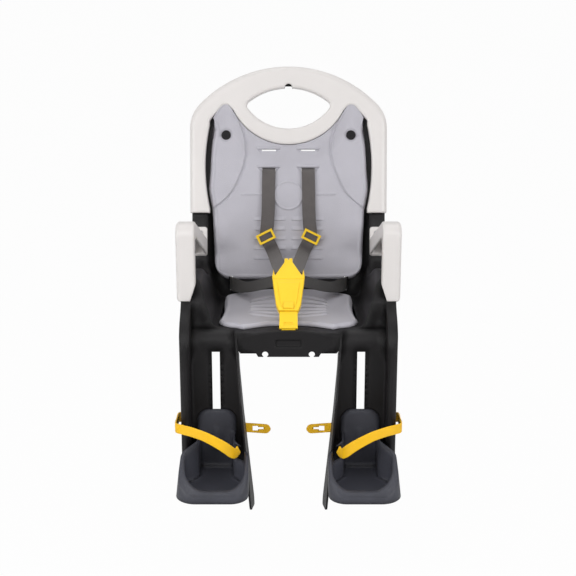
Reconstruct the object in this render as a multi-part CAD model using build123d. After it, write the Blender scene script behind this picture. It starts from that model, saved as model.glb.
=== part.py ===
"""Rear child bike seat: moulded shell, head frame, pads, harness, buckle and footrests.

Frame: +X to the viewer's right, the seat faces -Y, +Z up, millimetres. The origin lies on the seat's
middle plane, level with the rear edges of the legs and 10 mm below the axes of the fork's two rods.
"""
import os
from math import atan2, cos, degrees, radians, sin, sqrt

from build123d import *

# Shell walls and general clearances
wall = 3.5                  # moulded wall of the shell
trim_wall = 3.2             # moulded wall of the pale trim
seat_gap = 0.3              # gap between two pieces that are fixed together
cut_extra = 5.0             # how far a cutting tool runs past the face it cuts
big = 600.0                 # longer than the seat, for tools that cut right through

# Side walls, legs and pan
half_width = 191.5          # outside of the leg walls from the middle
channel_out_x = half_width - 17.5   # channel side of the outer leg wall
rim_round = 8.0             # rounding of the leg's front rim
guard_top_x = 90.0          # wheel guard's wheel side at guard_top_z
guard_tip_x = 65.0          # wheel guard's wheel side at its tip
guard_top_z = 20.0
leg_foot_z = -222.0         # lower end of the leg channels
leg_front_y = -52.0         # front rim of the outer leg walls
leg_rear_y = 0.0            # rear edge of the outer leg walls
leg_wall_y = -12.0          # front face of the channel's rear wall
pan_z = 50.0                # upper face of the pan
pan_half = half_width - 57.5    # where the bolsters rise from the pan
bolster_in_x = half_width - 31.5    # inner shoulder of the thigh bolster
bolster_top_z = 134.0
waterfall_radius = 25.0     # rounding from the pan to the channel's rear wall
bridge_y = -14.0            # front face of the bridge between the legs
bridge_foot_z = 12.0
bridge_lobe_z = 5.5         # lower edge of the bridge's middle lobe
crotch_hump_half = 58.0
crotch_hump_rise = 5.0
crotch_hump_rear_y = 8.0
knee_z = 62.0
thigh_dip_y, thigh_dip_z = 14.0, 94.0
hump_front_y, hump_front_z = 44.0, 137.0
hump_rear_y, hump_rear_z = 118.0, 131.0
waist_y, waist_z = 165.0, 98.0
hip_rear_y, hip_top_z, hip_foot_z = 213.0, 112.0, 30.0
under_front_y, under_front_z = 24.0, 16.0

# Wheel guards
guard_front_top_z = -70.0   # the guard's front edge slopes back above this height
guard_tip_y, guard_tip_z = 46.0, -304.0
guard_heel_z = -278.0       # front lower corner
guard_tip_radius = 11.0

# Footrest tracks
track_x = (guard_top_x + channel_out_x) / 2 - 2.5   # middle of the slot
track_top_z, track_foot_z = 14.0, -188.0
track_slot = 14.0
track_recess = 28.0
track_recess_depth = 1.2
detent_pitch = 11.5
detent_radius = 1.6
detent_depth = 1.0
detent_offset = 10.3        # detent row from the middle of the slot
detent_count = 12

# Backrest
recline = 14.5              # degrees from upright
hip_y, hip_z = 205.0, 60.0  # lower end of the backrest's face
plate_foot = -14.0          # lower end of the backrest plate, along the back
wing_in_x = half_width - 37.9   # inner side of the wings
wing_foot = -34.0
wing_height = 22.4
wing_radius = 8.0

# Head frame, in the plane of the backrest
frame_half = half_width - 4.5
frame_top = 424.0
frame_foot = 147.0
crown_radius = 236.0
shoulder_radius = 66.0
frame_depth = 22.0          # from the backrest's face to the front of the frame
frame_skirt = 14.0          # how far the frame's outer wall reaches behind the backrest's face
frame_round = 11.0
frame_inner_round = 4.0
rail_in_x = frame_half - 37.5   # inner edge of the rails at both their ends
rail_bow = 8.5              # how far that edge bows outwards in the middle
collar_radius = 116.5       # lower edge of the collar round the handle hole
collar_foot = frame_top - 147.0
ear_side_x = collar_radius - 12.5   # where the collar meets the pad's ear
ear_apex_x, ear_apex = rail_in_x - 30.5, frame_top - 67.0
ear_corner = frame_top - 102.0
ear_apex_radius, ear_corner_radius = 11.0, 8.0
hole_half, hole_wide = rail_in_x - 67.5, frame_top - 72.0
hole_top, hole_foot = frame_top - 40.0, frame_top - 117.0
hole_corner_radius = 9.0
hole_notch_radius = 7.0

# Armrests
post_out_x, post_in_x = half_width + 7.5, half_width - 26.0
post_front_y, post_rear_y = 16.0, 40.0
post_foot_z = 99.0
arm_top_z = 237.0
arm_depth = 22.0            # thickness of the hoop seen from the side
flange_in_x, flange_out_x = half_width - 37.5, half_width - 12.5
flange_foot, flange_top = 66.0, 121.0
flange_thickness = 5.0
flange_screw = 110.0        # the flange's screw, along the back
arm_round, arm_outer_round = 4.0, 7.0
arm_bend = 40.0             # radius and end length of the hoop's S bend seen from above

# Fork sockets
rod_x, rod_z = 41.5, 10.0
rod_radius = 5.0
rod_clearance = 0.1
notch_radius = 5.6          # notches in the bridge that the rods pass through
notch_lip = 7.0             # material on the outer side of a notch
recess_half, recess_foot_z, recess_top_z = 23.0, 23.5, 37.5
recess_radius = 2.5
recess_depth = 2.0

# Screws
screw_radius = 2.0
screw_clearance = 0.2
screw_head_radius = 4.0
screw_head_height = 2.4
boss_radius = 4.6

# Shoulder strap slots in the backrest, along the back
slot_rows = (collar_foot - 46.0, collar_foot - 12.0)
slot_x, slot_half, slot_height = 37.5, 15.0, 10.0
slot_round = 2.5
# Lap strap slots
lap_slot_x, lap_slot_foot, lap_slot_top, lap_slot_width = rail_in_x - 39.5, -1.0, 27.0, 6.0
lap_notch = 3.0             # how far the back pad's edge stays from a lap strap's slot
# Screws that hold the head frame, on the backrest's face
frame_screw_x_s = (
    (frame_half - 15.0, frame_foot + 53.0),
    (frame_half - 37.0, frame_top - 77.0),
    (60.0, frame_top - 31.0),
)
screw_length = 14.0

# Pads
back_pad_front = 12.0       # front of the back pad's rim, in front of the backrest's face
back_pad_field = 9.5        # front of the field inside the rim
back_pad_half, back_pad_wide = rail_in_x - 3.0, 155.0
back_pad_low_half, back_pad_foot = rail_in_x - 9.0, 20.0
back_pad_neck_x, back_pad_neck = rail_in_x - 9.5, frame_top - 123.0  # the pad is narrowest below its ears
back_pad_wing_x, back_pad_wing = rail_in_x + 2.5, 192.0             # and stands out most here
back_pad_rim = 8.0
pad_gap = 1.5               # pad inside the frame's window
pad_foot_round = 30.0
back_rib_rows = (134.0, 115.5, 97.0, 78.5, 60.0)
back_rib_in_x, back_rib_out_x, back_rib_height, back_rib_rise = 6.0, 66.0, 7.0, 1.8
disc_s, disc_radius, disc_rise = collar_foot - 96.0, 29.0, 1.2
rivet_x, rivet_s = rail_in_x - 31.0, frame_top - 129.0
rivet_radius, rivet_shank, rivet_head = 9.0, 3.0, 2.2
seat_pad_top = 58.0
seat_pad_half, seat_pad_rear_y = pan_half - 14.0, 192.0
seat_pad_waist_x, seat_pad_waist_y = pan_half - 21.0, 96.0
seat_pad_tip_x, seat_pad_tip_y = pan_half - 8.0, 15.0
seat_pad_lobe_x, seat_pad_lobe_y = pan_half - 48.0, -7.0
seat_pad_front_y = 9.0
seat_rib_count, seat_rib_pitch, seat_rib_first_y, seat_rib_half = 6, 20.0, 30.0, 68.0
seat_rib_groove, seat_rib_bow = 3.0, 9.0

# Harness webbing
web_width, web_thickness = 25.0, 1.8
strap_bar_radius = 3.0
strap_bar_half = 20.0
strap_lift = 3.4            # strap's middle in front of the back pad
adjuster_x, adjuster_s = 43.0, 102.0
adjuster_lift = 7.0
adjuster_width, adjuster_height, adjuster_bar = 33.5, 20.0, 4.2
adjuster_thickness = 2.0
web_clearance = 0.35
adjuster_tilt = 26.5        # degrees that the adjuster is turned by the strap
strap_straight = 30.0       # straight run of strap below the adjuster's middle
strap_end_lift = 7.0        # where the strap meets the tongue, in front of the buckle's plane
strap_end_gap = 0.3
lap_end = 109.0             # where the lap strap ends behind the tongue

# Buckle, in its own leaning plane
buckle_lean = 48.0          # degrees from upright
buckle_y, buckle_z = -7.9, 50.3
buckle_depth, buckle_back_depth = 15.0, 3.0
buckle_wall = 2.4
buckle_panel_inset = 8.0    # raised panel inside the body's outline
buckle_seam = 102.0         # the tongue meets the body here
buckle_seam_half = 28.8
buckle_step, buckle_step_half = 49.5, 22.2
buckle_foot, buckle_foot_half = 37.3, 17.4
tongue_top, tongue_prong_half, tongue_prong_foot = 145.6, 7.4, 137.6
tongue_v_half, tongue_v = 24.4, 109.5
tongue_horn_half, tongue_horn = 27.2, 122.5
tongue_wide_half, tongue_wide = 29.4, 107.6
tongue_front, tongue_back = 13.2, 1.0
tongue_plate_half, tongue_plate_foot = 14.0, 62.0
tongue_plate_back, tongue_plate_front = 5.0, 9.0
button_half, button_foot, button_top = 9.7, 40.5, 53.1
button_rise = 0.8           # how far the button stands out of the body
button_flange = 1.6
button_gap = 0.3
spring_thickness = 0.6
tab_half, tab_foot, tab_top = 16.3, 3.1, buckle_foot - 0.4
tab_back, tab_front = 4.5, 9.5
tab_slot_half, tab_slot_foot, tab_slot_top, tab_slot_depth = 8.0, 8.7, 14.9, 1.6
tab_neck_half, tab_neck_rear_y, tab_neck_front_y = 12.0, -4.5, -9.5
tab_neck_foot_z = 33.0
tab_neck_rise = 8.0         # how far the neck reaches up behind the plate
anchor_radius, anchor_half, anchor_z = 1.5, 19.0, 39.0

# Footrests
heel_half = track_x - guard_top_x - 4.5
heel_top_z, heel_round = -95.0, 22.0
heel_rear_y = -12.3         # rear face of the heel plate
foot_wall = 3.0
sole_z = -216.0
cup_rim_z, cup_lip_z = -138.0, -202.0
cup_front_y = -148.0
cup_half = 59.0
cup_flare_y = -58.0         # the cup is wider than the channel in front of this
cup_rim_y = -60.0           # the rim falls to the lip in front of this
cup_rim_mid_y, cup_rim_mid_z = -102.0, -162.0
cup_floor_half, cup_floor_z = 52.0, -207.0
cup_bulge = 9.0             # how far the sole bulges past the rim on the outer side
neck_half, neck_foot_z, neck_top_z = 6.6, -172.0, -132.0
slider_half, slider_foot_z, slider_top_z = 12.5, -180.0, -122.0
slider_rear_y = 11.4
foot_screw_z = -162.0
foot_screw_length = 22.0
peg_z = -136.0
strap_slot_y, strap_slot_z = -70.0, -156.0
strap_slot_width = 20.0     # notch in the cup's inner wall for the foot strap
peg_radius, peg_head_radius = 3.0, 5.0
foot_web_width, foot_web_thickness = 18.5, 2.6
strap_stand_off = 7.0       # air between the foot strap and the leg's outer wall
strap_arch = (              # the strap over the foot: from the track's middle, y and z
    (-30.0, -88.0, -146.0),
    (-9.5, -98.0, -126.5),
    (17.0, -96.0, -112.4),
    (44.0, -84.0, -108.3),
)
strap_side_z = -111.5       # height of the strap at the leg's front rim
strap_tail_x = 33.0

# Fork socket
socket_radius = 10.5
socket_front_y, socket_length = 48.0, 76.0
socket_web = 8.0
clamp_thickness = 3.0
clamp_half = 54.0
clamp_front_y, clamp_rear_y = socket_front_y + 21.0, socket_front_y + 55.0
clamp_screw_x = 14.0

BACK = Plane(
    origin=(0, hip_y, hip_z),
    x_dir=(1, 0, 0),
    z_dir=(0, -cos(radians(recline)), sin(radians(recline))),
)


def both_sides(part):
    """A piece and its mirror image across the seat's middle plane."""
    return part + mirror(part, about=Plane.YZ)


def symmetric_face(half):
    """Face bounded by an open half outline and its mirror image."""
    return make_face(half + mirror(half, about=Plane.YZ))


def along_x(sketch, start, end):
    """Extrude a sketch drawn in (y, z) from x = start to x = end."""
    return extrude(Plane.YZ.offset(start) * sketch, end - start, dir=(1, 0, 0))


def along_y(sketch, start, end):
    """Extrude a sketch drawn in (x, z) from y = start to y = end."""
    return extrude(Plane.XZ.offset(-start) * sketch, end - start, dir=(0, 1, 0))


def along_z(sketch, start, end):
    """Extrude a sketch drawn in (x, y) from z = start to z = end."""
    return extrude(Plane.XY.offset(start) * sketch, end - start, dir=(0, 0, 1))


def off_back(sketch, start, end):
    """Extrude a sketch drawn on the backrest's face between two distances in front of it."""
    return extrude(BACK.offset(start) * sketch, end - start, dir=BACK.z_dir)


def guard_x(z):
    """Wheel side of the leaning wheel guard at a height."""
    return guard_tip_x + (guard_top_x - guard_tip_x) * (z - guard_tip_z) / (guard_top_z - guard_tip_z)


def opened(face, inset, shift):
    """A face shrunk by the wall, then stretched by a shift so that the hollow opens that way."""
    inner = offset(face, -inset)
    return inner + Pos(*shift) * inner


def side_profile():
    """Side wall seen from the side: leg, knee, thigh hump, waist, hip and underside."""
    outline = FilletPolyline(
        (leg_front_y, leg_foot_z),
        (leg_front_y, knee_z),
        (thigh_dip_y, thigh_dip_z),
        (hump_front_y, hump_front_z),
        (hump_rear_y, hump_rear_z),
        (waist_y, waist_z),
        (hip_rear_y, hip_top_z),
        (hip_rear_y, hip_foot_z),
        (under_front_y, under_front_z),
        (leg_rear_y, under_front_z - 30),
        (leg_rear_y, leg_foot_z),
        radius=[12, 60, 96, 40, 40, 40, 6, 20, 14, 14, 12],
        close=True,
    )
    return make_face(outline)


def cross_section():
    """Seat seen from the front: pan, bolsters, outer walls and leaning wheel guards."""
    half = FilletPolyline(
        (0, pan_z),
        (pan_half, pan_z),
        (bolster_in_x, bolster_top_z),
        (half_width, bolster_top_z),
        (half_width, leg_foot_z),
        (guard_x(leg_foot_z), leg_foot_z),
        (guard_x(bridge_foot_z), bridge_foot_z),
        (0, bridge_foot_z),
        radius=[14, 18, 17, 0, 0, 3],
    )
    return symmetric_face(half)


def leg_channel(grow):
    """Space in front of a leg's rear wall, with the rounded fall from the pan; grow enlarges it."""
    face_y = leg_wall_y + grow
    fall = waterfall_radius - grow
    centre_y, centre_z = leg_wall_y + waterfall_radius, pan_z - waterfall_radius
    top_z = centre_z + fall
    lower = make_face(
        Polyline((-big, top_z), (-big, -big), (face_y, -big), (face_y, centre_z))
        + CenterArc((centre_y, centre_z), fall, 90, 90)
        + Line((centre_y, top_z), (-big, top_z))
    )
    upper_width = centre_y + grow + big
    upper = Pos(-big + upper_width / 2, top_z + big / 2) * Rectangle(upper_width, big)
    outline = lower + upper
    in_low, in_high = guard_x(-big) + wall - grow, guard_x(big) + wall - grow
    out_x = channel_out_x + grow
    width = Polyline((in_low, -big), (out_x, -big), (out_x, big), (in_high, big), close=True)
    return along_x(outline, 0, half_width) & along_y(make_face(width), -big, big)


def bridge_space(grow):
    """Space in front of the bridge, between the wheel guards."""
    front = Polyline((-big, -big), (bridge_y + grow, -big), (bridge_y + grow, big), (-big, big), close=True)
    x_low, x_high = guard_x(-big) - grow, guard_x(big) - grow
    width = Polyline((-x_low, -big), (x_low, -big), (x_high, big), (-x_high, big), close=True)
    return along_x(make_face(front), -big, big) & along_y(make_face(width), -big, big)


def crotch_hump(inset):
    """Low arch on the pan's front edge, under the crotch tab."""
    radius = (crotch_hump_half**2 + crotch_hump_rise**2) / (2 * crotch_hump_rise)
    disc = Pos(0, pan_z + crotch_hump_rise - radius) * Circle(radius - inset)
    band = Pos(0, pan_z) * Rectangle(2 * crotch_hump_half, 4 * crotch_hump_rise)
    return along_y(disc & band, bridge_y + inset, crotch_hump_rear_y - inset)


def base_block(inset):
    """Solid form of the seat's base; with an inset it is the hollow inside the moulded wall."""
    side, section = side_profile(), cross_section()
    if inset:
        side = opened(side, inset, (3 * inset, -3 * inset))
        section = opened(section, inset, (0, -3 * inset))
    block = along_x(side, -big, big) & along_y(section, -big, big)
    if not inset:
        block = (block & along_z(leg_plan(0), -big, big)) - both_sides(rim_lip())
    return block - both_sides(leg_channel(inset)) - bridge_space(inset) + crotch_hump(inset)


def wheel_guard():
    """Leaning blade between the foot and the wheel, with a rounded tip behind and below."""
    outline = FilletPolyline(
        (leg_wall_y + wall, -20),
        (leg_front_y, guard_front_top_z),
        (leg_front_y, guard_heel_z),
        (guard_tip_y, guard_tip_z - guard_tip_radius),
        (guard_tip_y + guard_tip_radius, guard_tip_z),
        (leg_wall_y + wall, guard_front_top_z),
        radius=[0, 10, 16, guard_tip_radius, guard_tip_radius, 0],
        close=True,
    )
    x_low, x_high = guard_x(-big), guard_x(big)
    lean = Polyline((x_low, -big), (x_low + wall, -big), (x_high + wall, big), (x_high, big), close=True)
    return along_x(make_face(outline), 0, half_width) & along_y(make_face(lean), -big, big)


def guard_corner():
    """What is cut off the front of the guard's upper end, so that it runs back to the bridge."""
    x_out = guard_top_x + wall + seat_gap
    corner = Polyline(
        (leg_front_y - cut_extra, guard_front_top_z), (leg_front_y, guard_front_top_z),
        (bridge_y, pan_z - 6), (bridge_y, big), (leg_front_y - cut_extra, big), close=True,
    )
    return along_x(make_face(corner), 0, x_out + 2)


def footrest_track():
    """Slot through a leg's rear wall, the shallow recess round it and its two rows of detents."""
    length = track_top_z - track_foot_z
    middle_z = (track_top_z + track_foot_z) / 2
    slot = Pos(track_x, middle_z) * Rectangle(track_slot, length)
    recess = Pos(track_x, middle_z) * Rectangle(track_recess, length + track_recess - track_slot)
    detents = [
        Pos(track_x + sign * detent_offset, track_top_z - detent_pitch * (step + 2)) * Circle(detent_radius)
        for step in range(detent_count) for sign in (-1, 1)
    ]
    floor_y = leg_wall_y + track_recess_depth
    cut = along_y(slot, leg_wall_y - cut_extra, leg_rear_y)
    cut += along_y(Sketch() + detents, leg_wall_y - cut_extra, floor_y + detent_depth)
    return cut + along_y(recess, leg_wall_y - cut_extra, floor_y)


def leg_plan(inset):
    """Seat's base seen from above, with the front corners of the outer walls rounded."""
    half = half_width - inset
    rear = hip_rear_y + cut_extra
    front = leg_front_y + inset
    round_out = rim_round - inset / 2
    outline = FilletPolyline(
        (-half, rear), (-half, front), (half, front), (half, rear),
        radius=[0, round_out, round_out, 0], close=True,
    )
    return make_face(outline)


def rim_lip():
    """What is cut off the channel's side of the outer wall to round its front rim."""
    radius = rim_round
    corner = Pos(channel_out_x + radius / 2, leg_front_y + radius / 2) * Rectangle(radius, radius)
    corner -= Pos(channel_out_x + radius, leg_front_y + radius) * Circle(radius)
    return along_z(corner, -big, big)


def frame_outline(inset, foot):
    """Outer outline of the head frame: straight rails, shoulder arcs and a crowned top."""
    half, crown, shoulder = frame_half - inset, crown_radius - inset, shoulder_radius - inset
    centre_x = half - shoulder
    rise = sqrt((crown - shoulder) ** 2 - centre_x**2)
    crown_s = frame_top - crown_radius
    turn = degrees(atan2(rise, centre_x))
    edge = (
        CenterArc((0, crown_s), crown, turn, 90 - turn)
        + CenterArc((centre_x, crown_s + rise), shoulder, 0, turn)
        + Polyline((half, crown_s + rise), (half, foot), (0, foot))
    )
    return symmetric_face(edge)


def ear_edge(gap):
    """Edge of the pad's window from the collar's middle over the ear, grown by gap."""
    radius = collar_radius - gap
    centre = collar_foot + collar_radius
    side_x = ear_side_x + gap / 2
    side = centre - sqrt(radius**2 - side_x**2)
    arc_angle = degrees(atan2(side - centre, side_x))
    return CenterArc((0, centre), radius, -90, arc_angle + 90), (side_x, side)


def pad_window(gap):
    """Opening of the head frame that the back pad lies in; it runs out below the rails."""
    arc, start = ear_edge(gap)
    rail, bow_foot = rail_in_x + gap, frame_foot + rail_bow
    ear = FilletPolyline(
        start, (ear_apex_x, ear_apex + gap), (rail, ear_corner + gap), (rail, ear_corner - rail_bow),
        radius=[ear_apex_radius, ear_corner_radius],
    )
    bow = ThreePointArc(
        (rail, ear_corner - rail_bow), (rail + rail_bow, (ear_corner + bow_foot) / 2), (rail, bow_foot))
    foot = Polyline((rail, bow_foot), (rail, -big), (0, -big))
    return symmetric_face(arc + ear + bow + foot)


def handle_hole(gap):
    """Lens-shaped hole of the carrying handle, grown by gap."""
    upper = ThreePointArc((-hole_half - gap, hole_wide), (0, hole_top + gap), (hole_half + gap, hole_wide))
    lower = ThreePointArc((-hole_half - gap, hole_wide), (0, hole_foot - gap), (hole_half + gap, hole_wide))
    lens = make_face(upper + lower)
    return fillet(lens.vertices(), hole_corner_radius)


BACK_SIDE = Plane(origin=BACK.origin, x_dir=BACK.y_dir, z_dir=(1, 0, 0))
BUCKLE = Plane(
    origin=(0, buckle_y, buckle_z),
    x_dir=(1, 0, 0),
    z_dir=(0, -cos(radians(buckle_lean)), sin(radians(buckle_lean))),
)
BUCKLE_SIDE = Plane(origin=BUCKLE.origin, x_dir=BUCKLE.y_dir, z_dir=(1, 0, 0))


def on_back(x, s, lift):
    """World point at a place on the backrest's face and a distance in front of it."""
    return BACK.from_local_coords(Vector(x, s, lift))


def across_back(sketch, start, end):
    """Extrude a sketch drawn in (up the back, in front of it) from x = start to x = end."""
    return extrude(BACK_SIDE.offset(start) * sketch, end - start, dir=(1, 0, 0))


def off_buckle(sketch, start, end):
    """Extrude a sketch drawn on the buckle's plane between two distances in front of it."""
    return extrude(BUCKLE.offset(start) * sketch, end - start, dir=BUCKLE.z_dir)


def front_edges(part, plane):
    """Edges of a part's frontmost flat face, as seen along the plane's normal."""
    return part.faces().filter_by(plane).sort_by(Axis((0, 0, 0), plane.z_dir))[-1].edges()


def strap_slots(clearance):
    """Both rows of shoulder strap slots, as a sketch on the backrest's face."""
    width, height = 2 * (slot_half + clearance), slot_height + 2 * clearance
    return [
        Pos(sign * slot_x, s) * RectangleRounded(width, height, slot_round)
        for sign in (-1, 1) for s in slot_rows
    ]


def frame_screw_places():
    """Places on the backrest's face of the screws that hold the head frame."""
    return [(sign * x, s) for sign in (-1, 1) for x, s in frame_screw_x_s]


def post_outline(gap):
    """Front view of an armrest's post, whose lower inner corner is cut off, grown by gap."""
    taper_z = post_foot_z + 30
    outline = Polyline(
        (post_out_x + gap, post_foot_z - gap), (post_out_x + gap, big), (post_in_x - gap, big),
        (post_in_x - gap, taper_z), (post_in_x + 10 - gap, post_foot_z - gap), close=True,
    )
    return make_face(outline)


def bridge_apron():
    """Lower edge of the bridge's front wall: a middle lobe that takes the rods, and ends in the guards."""
    top, side = pan_z - wall, bridge_foot_z + notch_radius
    lip_x = rod_x + notch_radius + notch_lip
    half = Polyline(
        (0, top), (guard_x(top) + wall / 2, top), (guard_x(side) + wall / 2, side),
        (guard_x(side) - notch_radius, bridge_foot_z), (lip_x + wall, bridge_foot_z),
        (lip_x, bridge_lobe_z), (0, bridge_lobe_z),
    )
    return along_y(symmetric_face(half), bridge_y, bridge_y + wall)


def rod_notches():
    """Round notches through the bridge's lower edge for the fork's rods."""
    notches = [Pos(sign * rod_x, rod_z) * Circle(notch_radius) for sign in (-1, 1)]
    return along_y(Sketch() + notches, bridge_y - cut_extra, bridge_y + wall + cut_extra)


def lap_slots(grow):
    """Upright slots in the backrest plate for the lap straps, enlarged by grow."""
    middle = (lap_slot_foot + lap_slot_top) / 2
    width = lap_slot_width + 2 * grow
    slot = RectangleRounded(width, lap_slot_top - lap_slot_foot + 2 * grow, width / 2 - 0.2)
    return [Pos(sign * lap_slot_x, middle) * slot for sign in (-1, 1)]


def side_wing():
    """Hollow upright beside the backrest, below the head frame's rail."""
    out_x = frame_half - trim_wall - 2 * seat_gap
    top = frame_foot - seat_gap
    middle = Pos((wing_in_x + out_x) / 2, (wing_foot + top) / 2)
    face = middle * Rectangle(out_x - wing_in_x, top - wing_foot)
    wing = off_back(face, -frame_skirt, wing_height)
    wing = fillet(front_edges(wing, BACK), wing_radius)
    hollow = off_back(offset(face, -wall), -frame_skirt - cut_extra, wing_height - wall)
    return wing - fillet(front_edges(hollow, BACK), wing_radius - wall)


def seat_shell():
    """The whole dark moulding: base, wheel guards, backrest plate and side wings."""
    shell = base_block(0) - base_block(wall)
    shell = shell + both_sides(wheel_guard()) - both_sides(guard_corner()) + bridge_apron() - rod_notches()
    plate = frame_outline(trim_wall + 2 * seat_gap, plate_foot)
    plate -= handle_hole(trim_wall + 2 * seat_gap)
    plate -= strap_slots(0) + lap_slots(0)
    plate -= [Pos(x, s) * Circle(screw_radius + screw_clearance) for x, s in frame_screw_places()]
    plate -= [Pos(sign * rivet_x, rivet_s) * Circle(rivet_shank + screw_clearance) for sign in (-1, 1)]
    shell = shell + off_back(plate, -wall, 0) + both_sides(side_wing())
    flange_x = (flange_in_x + flange_out_x) / 2
    flange_hole = Pos(flange_x, flange_screw) * Circle(screw_radius + screw_clearance)
    shell -= both_sides(off_back(flange_hole, 0, wing_height + cut_extra))
    shell -= both_sides(footrest_track())
    shell -= both_sides(along_y(post_outline(seat_gap), post_front_y - seat_gap, post_rear_y + seat_gap))
    recess_middle = (recess_foot_z + recess_top_z) / 2
    recess = RectangleRounded(2 * recess_half, recess_top_z - recess_foot_z, recess_radius)
    shell -= along_y(Pos(0, recess_middle) * recess, bridge_y - cut_extra, bridge_y + recess_depth)
    tab_depth = tab_neck_rear_y - tab_neck_front_y
    tab_hole = Pos(0, (tab_neck_rear_y + tab_neck_front_y) / 2) * Rectangle(
        2 * (tab_neck_half + seat_gap), tab_depth + 2 * seat_gap)
    return shell - along_z(tab_hole, pan_z - wall - cut_extra, pan_z + crotch_hump_rise + cut_extra)


def head_frame():
    """Pale cap round the upper backrest: rails, crown and the collar of the handle hole."""
    ring = frame_outline(0, frame_foot) - pad_window(0) - handle_hole(0)
    cap = off_back(ring, seat_gap, frame_depth)
    rim = front_edges(cap, BACK)
    outer = [edge for edge in rim if is_outer_edge(edge)]
    cap = fillet(outer, frame_round)
    rim = front_edges(cap, BACK)
    cap = fillet([edge for edge in rim if not is_outer_edge(edge)], frame_inner_round)
    hollow_ring = frame_outline(trim_wall, frame_foot - cut_extra)
    hollow_ring -= pad_window(trim_wall) + handle_hole(trim_wall)
    hollow = off_back(hollow_ring, seat_gap - cut_extra, frame_depth - trim_wall)
    rim = front_edges(hollow, BACK)
    hollow = fillet([edge for edge in rim if is_outer_edge(edge)], frame_round - trim_wall)
    frame = cap - hollow
    skirt = frame_outline(0, frame_foot) - frame_outline(trim_wall, frame_foot - cut_extra)
    frame += off_back(skirt, -frame_skirt, seat_gap)
    frame += off_back(handle_hole(trim_wall) - handle_hole(0), -wall - trim_wall, seat_gap)
    for x, s in frame_screw_places():
        boss = Pos(x, s) * (Circle(boss_radius) - Circle(screw_radius + screw_clearance / 2))
        frame += off_back(boss, seat_gap, frame_depth - trim_wall)
    notch = Pos(0, hole_top) * Circle(hole_notch_radius)
    return frame - off_back(notch, -frame_skirt, frame_depth + cut_extra)


def is_outer_edge(edge):
    """Whether an edge lies on the frame's outer outline rather than on its openings or ends."""
    middle = BACK.to_local_coords(edge.position_at(0.5))
    on_rail = abs(abs(middle.X) - frame_half) < frame_round and middle.Y > frame_foot + 1
    crown_s = frame_top - crown_radius
    on_crown = middle.Y > ear_corner and abs(Vector(middle.X, middle.Y - crown_s).length - crown_radius) < 40
    in_hole = abs(middle.X) < hole_half + frame_round and middle.Y < hole_top + frame_round
    on_ear = abs(middle.X) < rail_in_x + 5 and middle.Y < ear_apex + frame_round
    return (on_rail or on_crown) and not in_hole and not on_ear


def arm_edge(front_x, rear_x, shift_y, end_y):
    """Edge of an armrest seen from above: straight, then moved inwards by a gentle S."""
    return FilletPolyline(
        (front_x, 0), (front_x, shift_y), (rear_x, end_y - arm_bend), (rear_x, end_y),
        radius=[arm_bend, arm_bend],
    )


def armrest():
    """Right armrest: a hoop from the backrest's wing over to a post on the thigh bolster."""
    flange_low = on_back(0, flange_foot, wing_height + seat_gap)
    flange_high = on_back(0, flange_foot + 0.55 * (flange_top - flange_foot), wing_height + seat_gap)
    band = make_face(FilletPolyline(
        (post_front_y, post_foot_z),
        (post_front_y, arm_top_z),
        (post_rear_y + 8, arm_top_z + 2),
        (flange_high.Y, flange_high.Z),
        (flange_low.Y, flange_low.Z),
        (post_rear_y, arm_top_z - arm_depth),
        (post_rear_y, post_foot_z),
        radius=[0, 22, 20, 0, 0, 16, 0],
        close=True,
    ))
    shift_y, end_y = post_rear_y + 6, hip_rear_y + cut_extra
    plan = make_face(
        arm_edge(post_out_x, flange_out_x, shift_y, end_y)
        + arm_edge(post_in_x, flange_in_x, shift_y, end_y)
        + Line((flange_out_x, end_y), (flange_in_x, end_y))
        + Line((post_out_x, 0), (post_in_x, 0))
    )
    arm = along_x(band, 0, big) & along_z(plan, 0, big)
    arm = fillet(arm_edges(arm, flange_low.Y, outer=True), arm_outer_round)
    arm = fillet(arm_edges(arm, flange_low.Y, outer=False), arm_round)
    hollow = along_x(opened(band, trim_wall, (3 * trim_wall, -3 * trim_wall)), 0, big)
    hollow &= along_z(offset(plan, -trim_wall), 0, big)
    hollow &= along_y(Rectangle(big, big), 0, flange_low.Y - 12)
    room = along_y(post_outline(0), 0, shift_y) + along_y(Rectangle(big, big), shift_y, big)
    arm = (arm - hollow) & room
    flange_width, flange_length = flange_out_x - flange_in_x, flange_top - flange_foot
    flange_x, flange_s = flange_in_x + flange_width / 2, flange_foot + flange_length / 2
    flange = Pos(flange_x, flange_s) * RectangleRounded(flange_width, flange_length, 5)
    hole = Pos(flange_x, flange_screw) * Circle(screw_radius + screw_clearance)
    start = wing_height + seat_gap
    arm += off_back(flange, start, start + flange_thickness)
    return arm - off_back(hole, start - cut_extra, start + flange_thickness + cut_extra)


def arm_edges(arm, end_y, outer):
    """Edges that run along the hoop, on its outer or inner side, and not across an end of it."""
    middle_x = (post_in_x + flange_out_x) / 2
    found = []
    for edge in arm.edges():
        place = edge.position_at(0.5)
        across = abs(edge.tangent_at(0.5).X) > 0.9
        if not across and place.Y < end_y - 4 and (place.X > middle_x) == outer:
            found.append(edge)
    return found


def back_pad_edge():
    """Outline of the back pad: collar arc, two ears, slightly tapered sides and a round foot."""
    arc, start = ear_edge(-pad_gap)
    side = FilletPolyline(
        start,
        (ear_apex_x, ear_apex - pad_gap),
        (rail_in_x - 2 * pad_gap, ear_corner - pad_gap),
        (back_pad_neck_x, back_pad_neck),
        (back_pad_wing_x, back_pad_wing),
        (back_pad_half, back_pad_wide),
        (back_pad_low_half, back_pad_foot),
        (0, back_pad_foot),
        radius=[ear_apex_radius - pad_gap, ear_corner_radius - pad_gap, 12, 30, 40, pad_foot_round],
    )
    return symmetric_face(arc + side)


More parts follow.
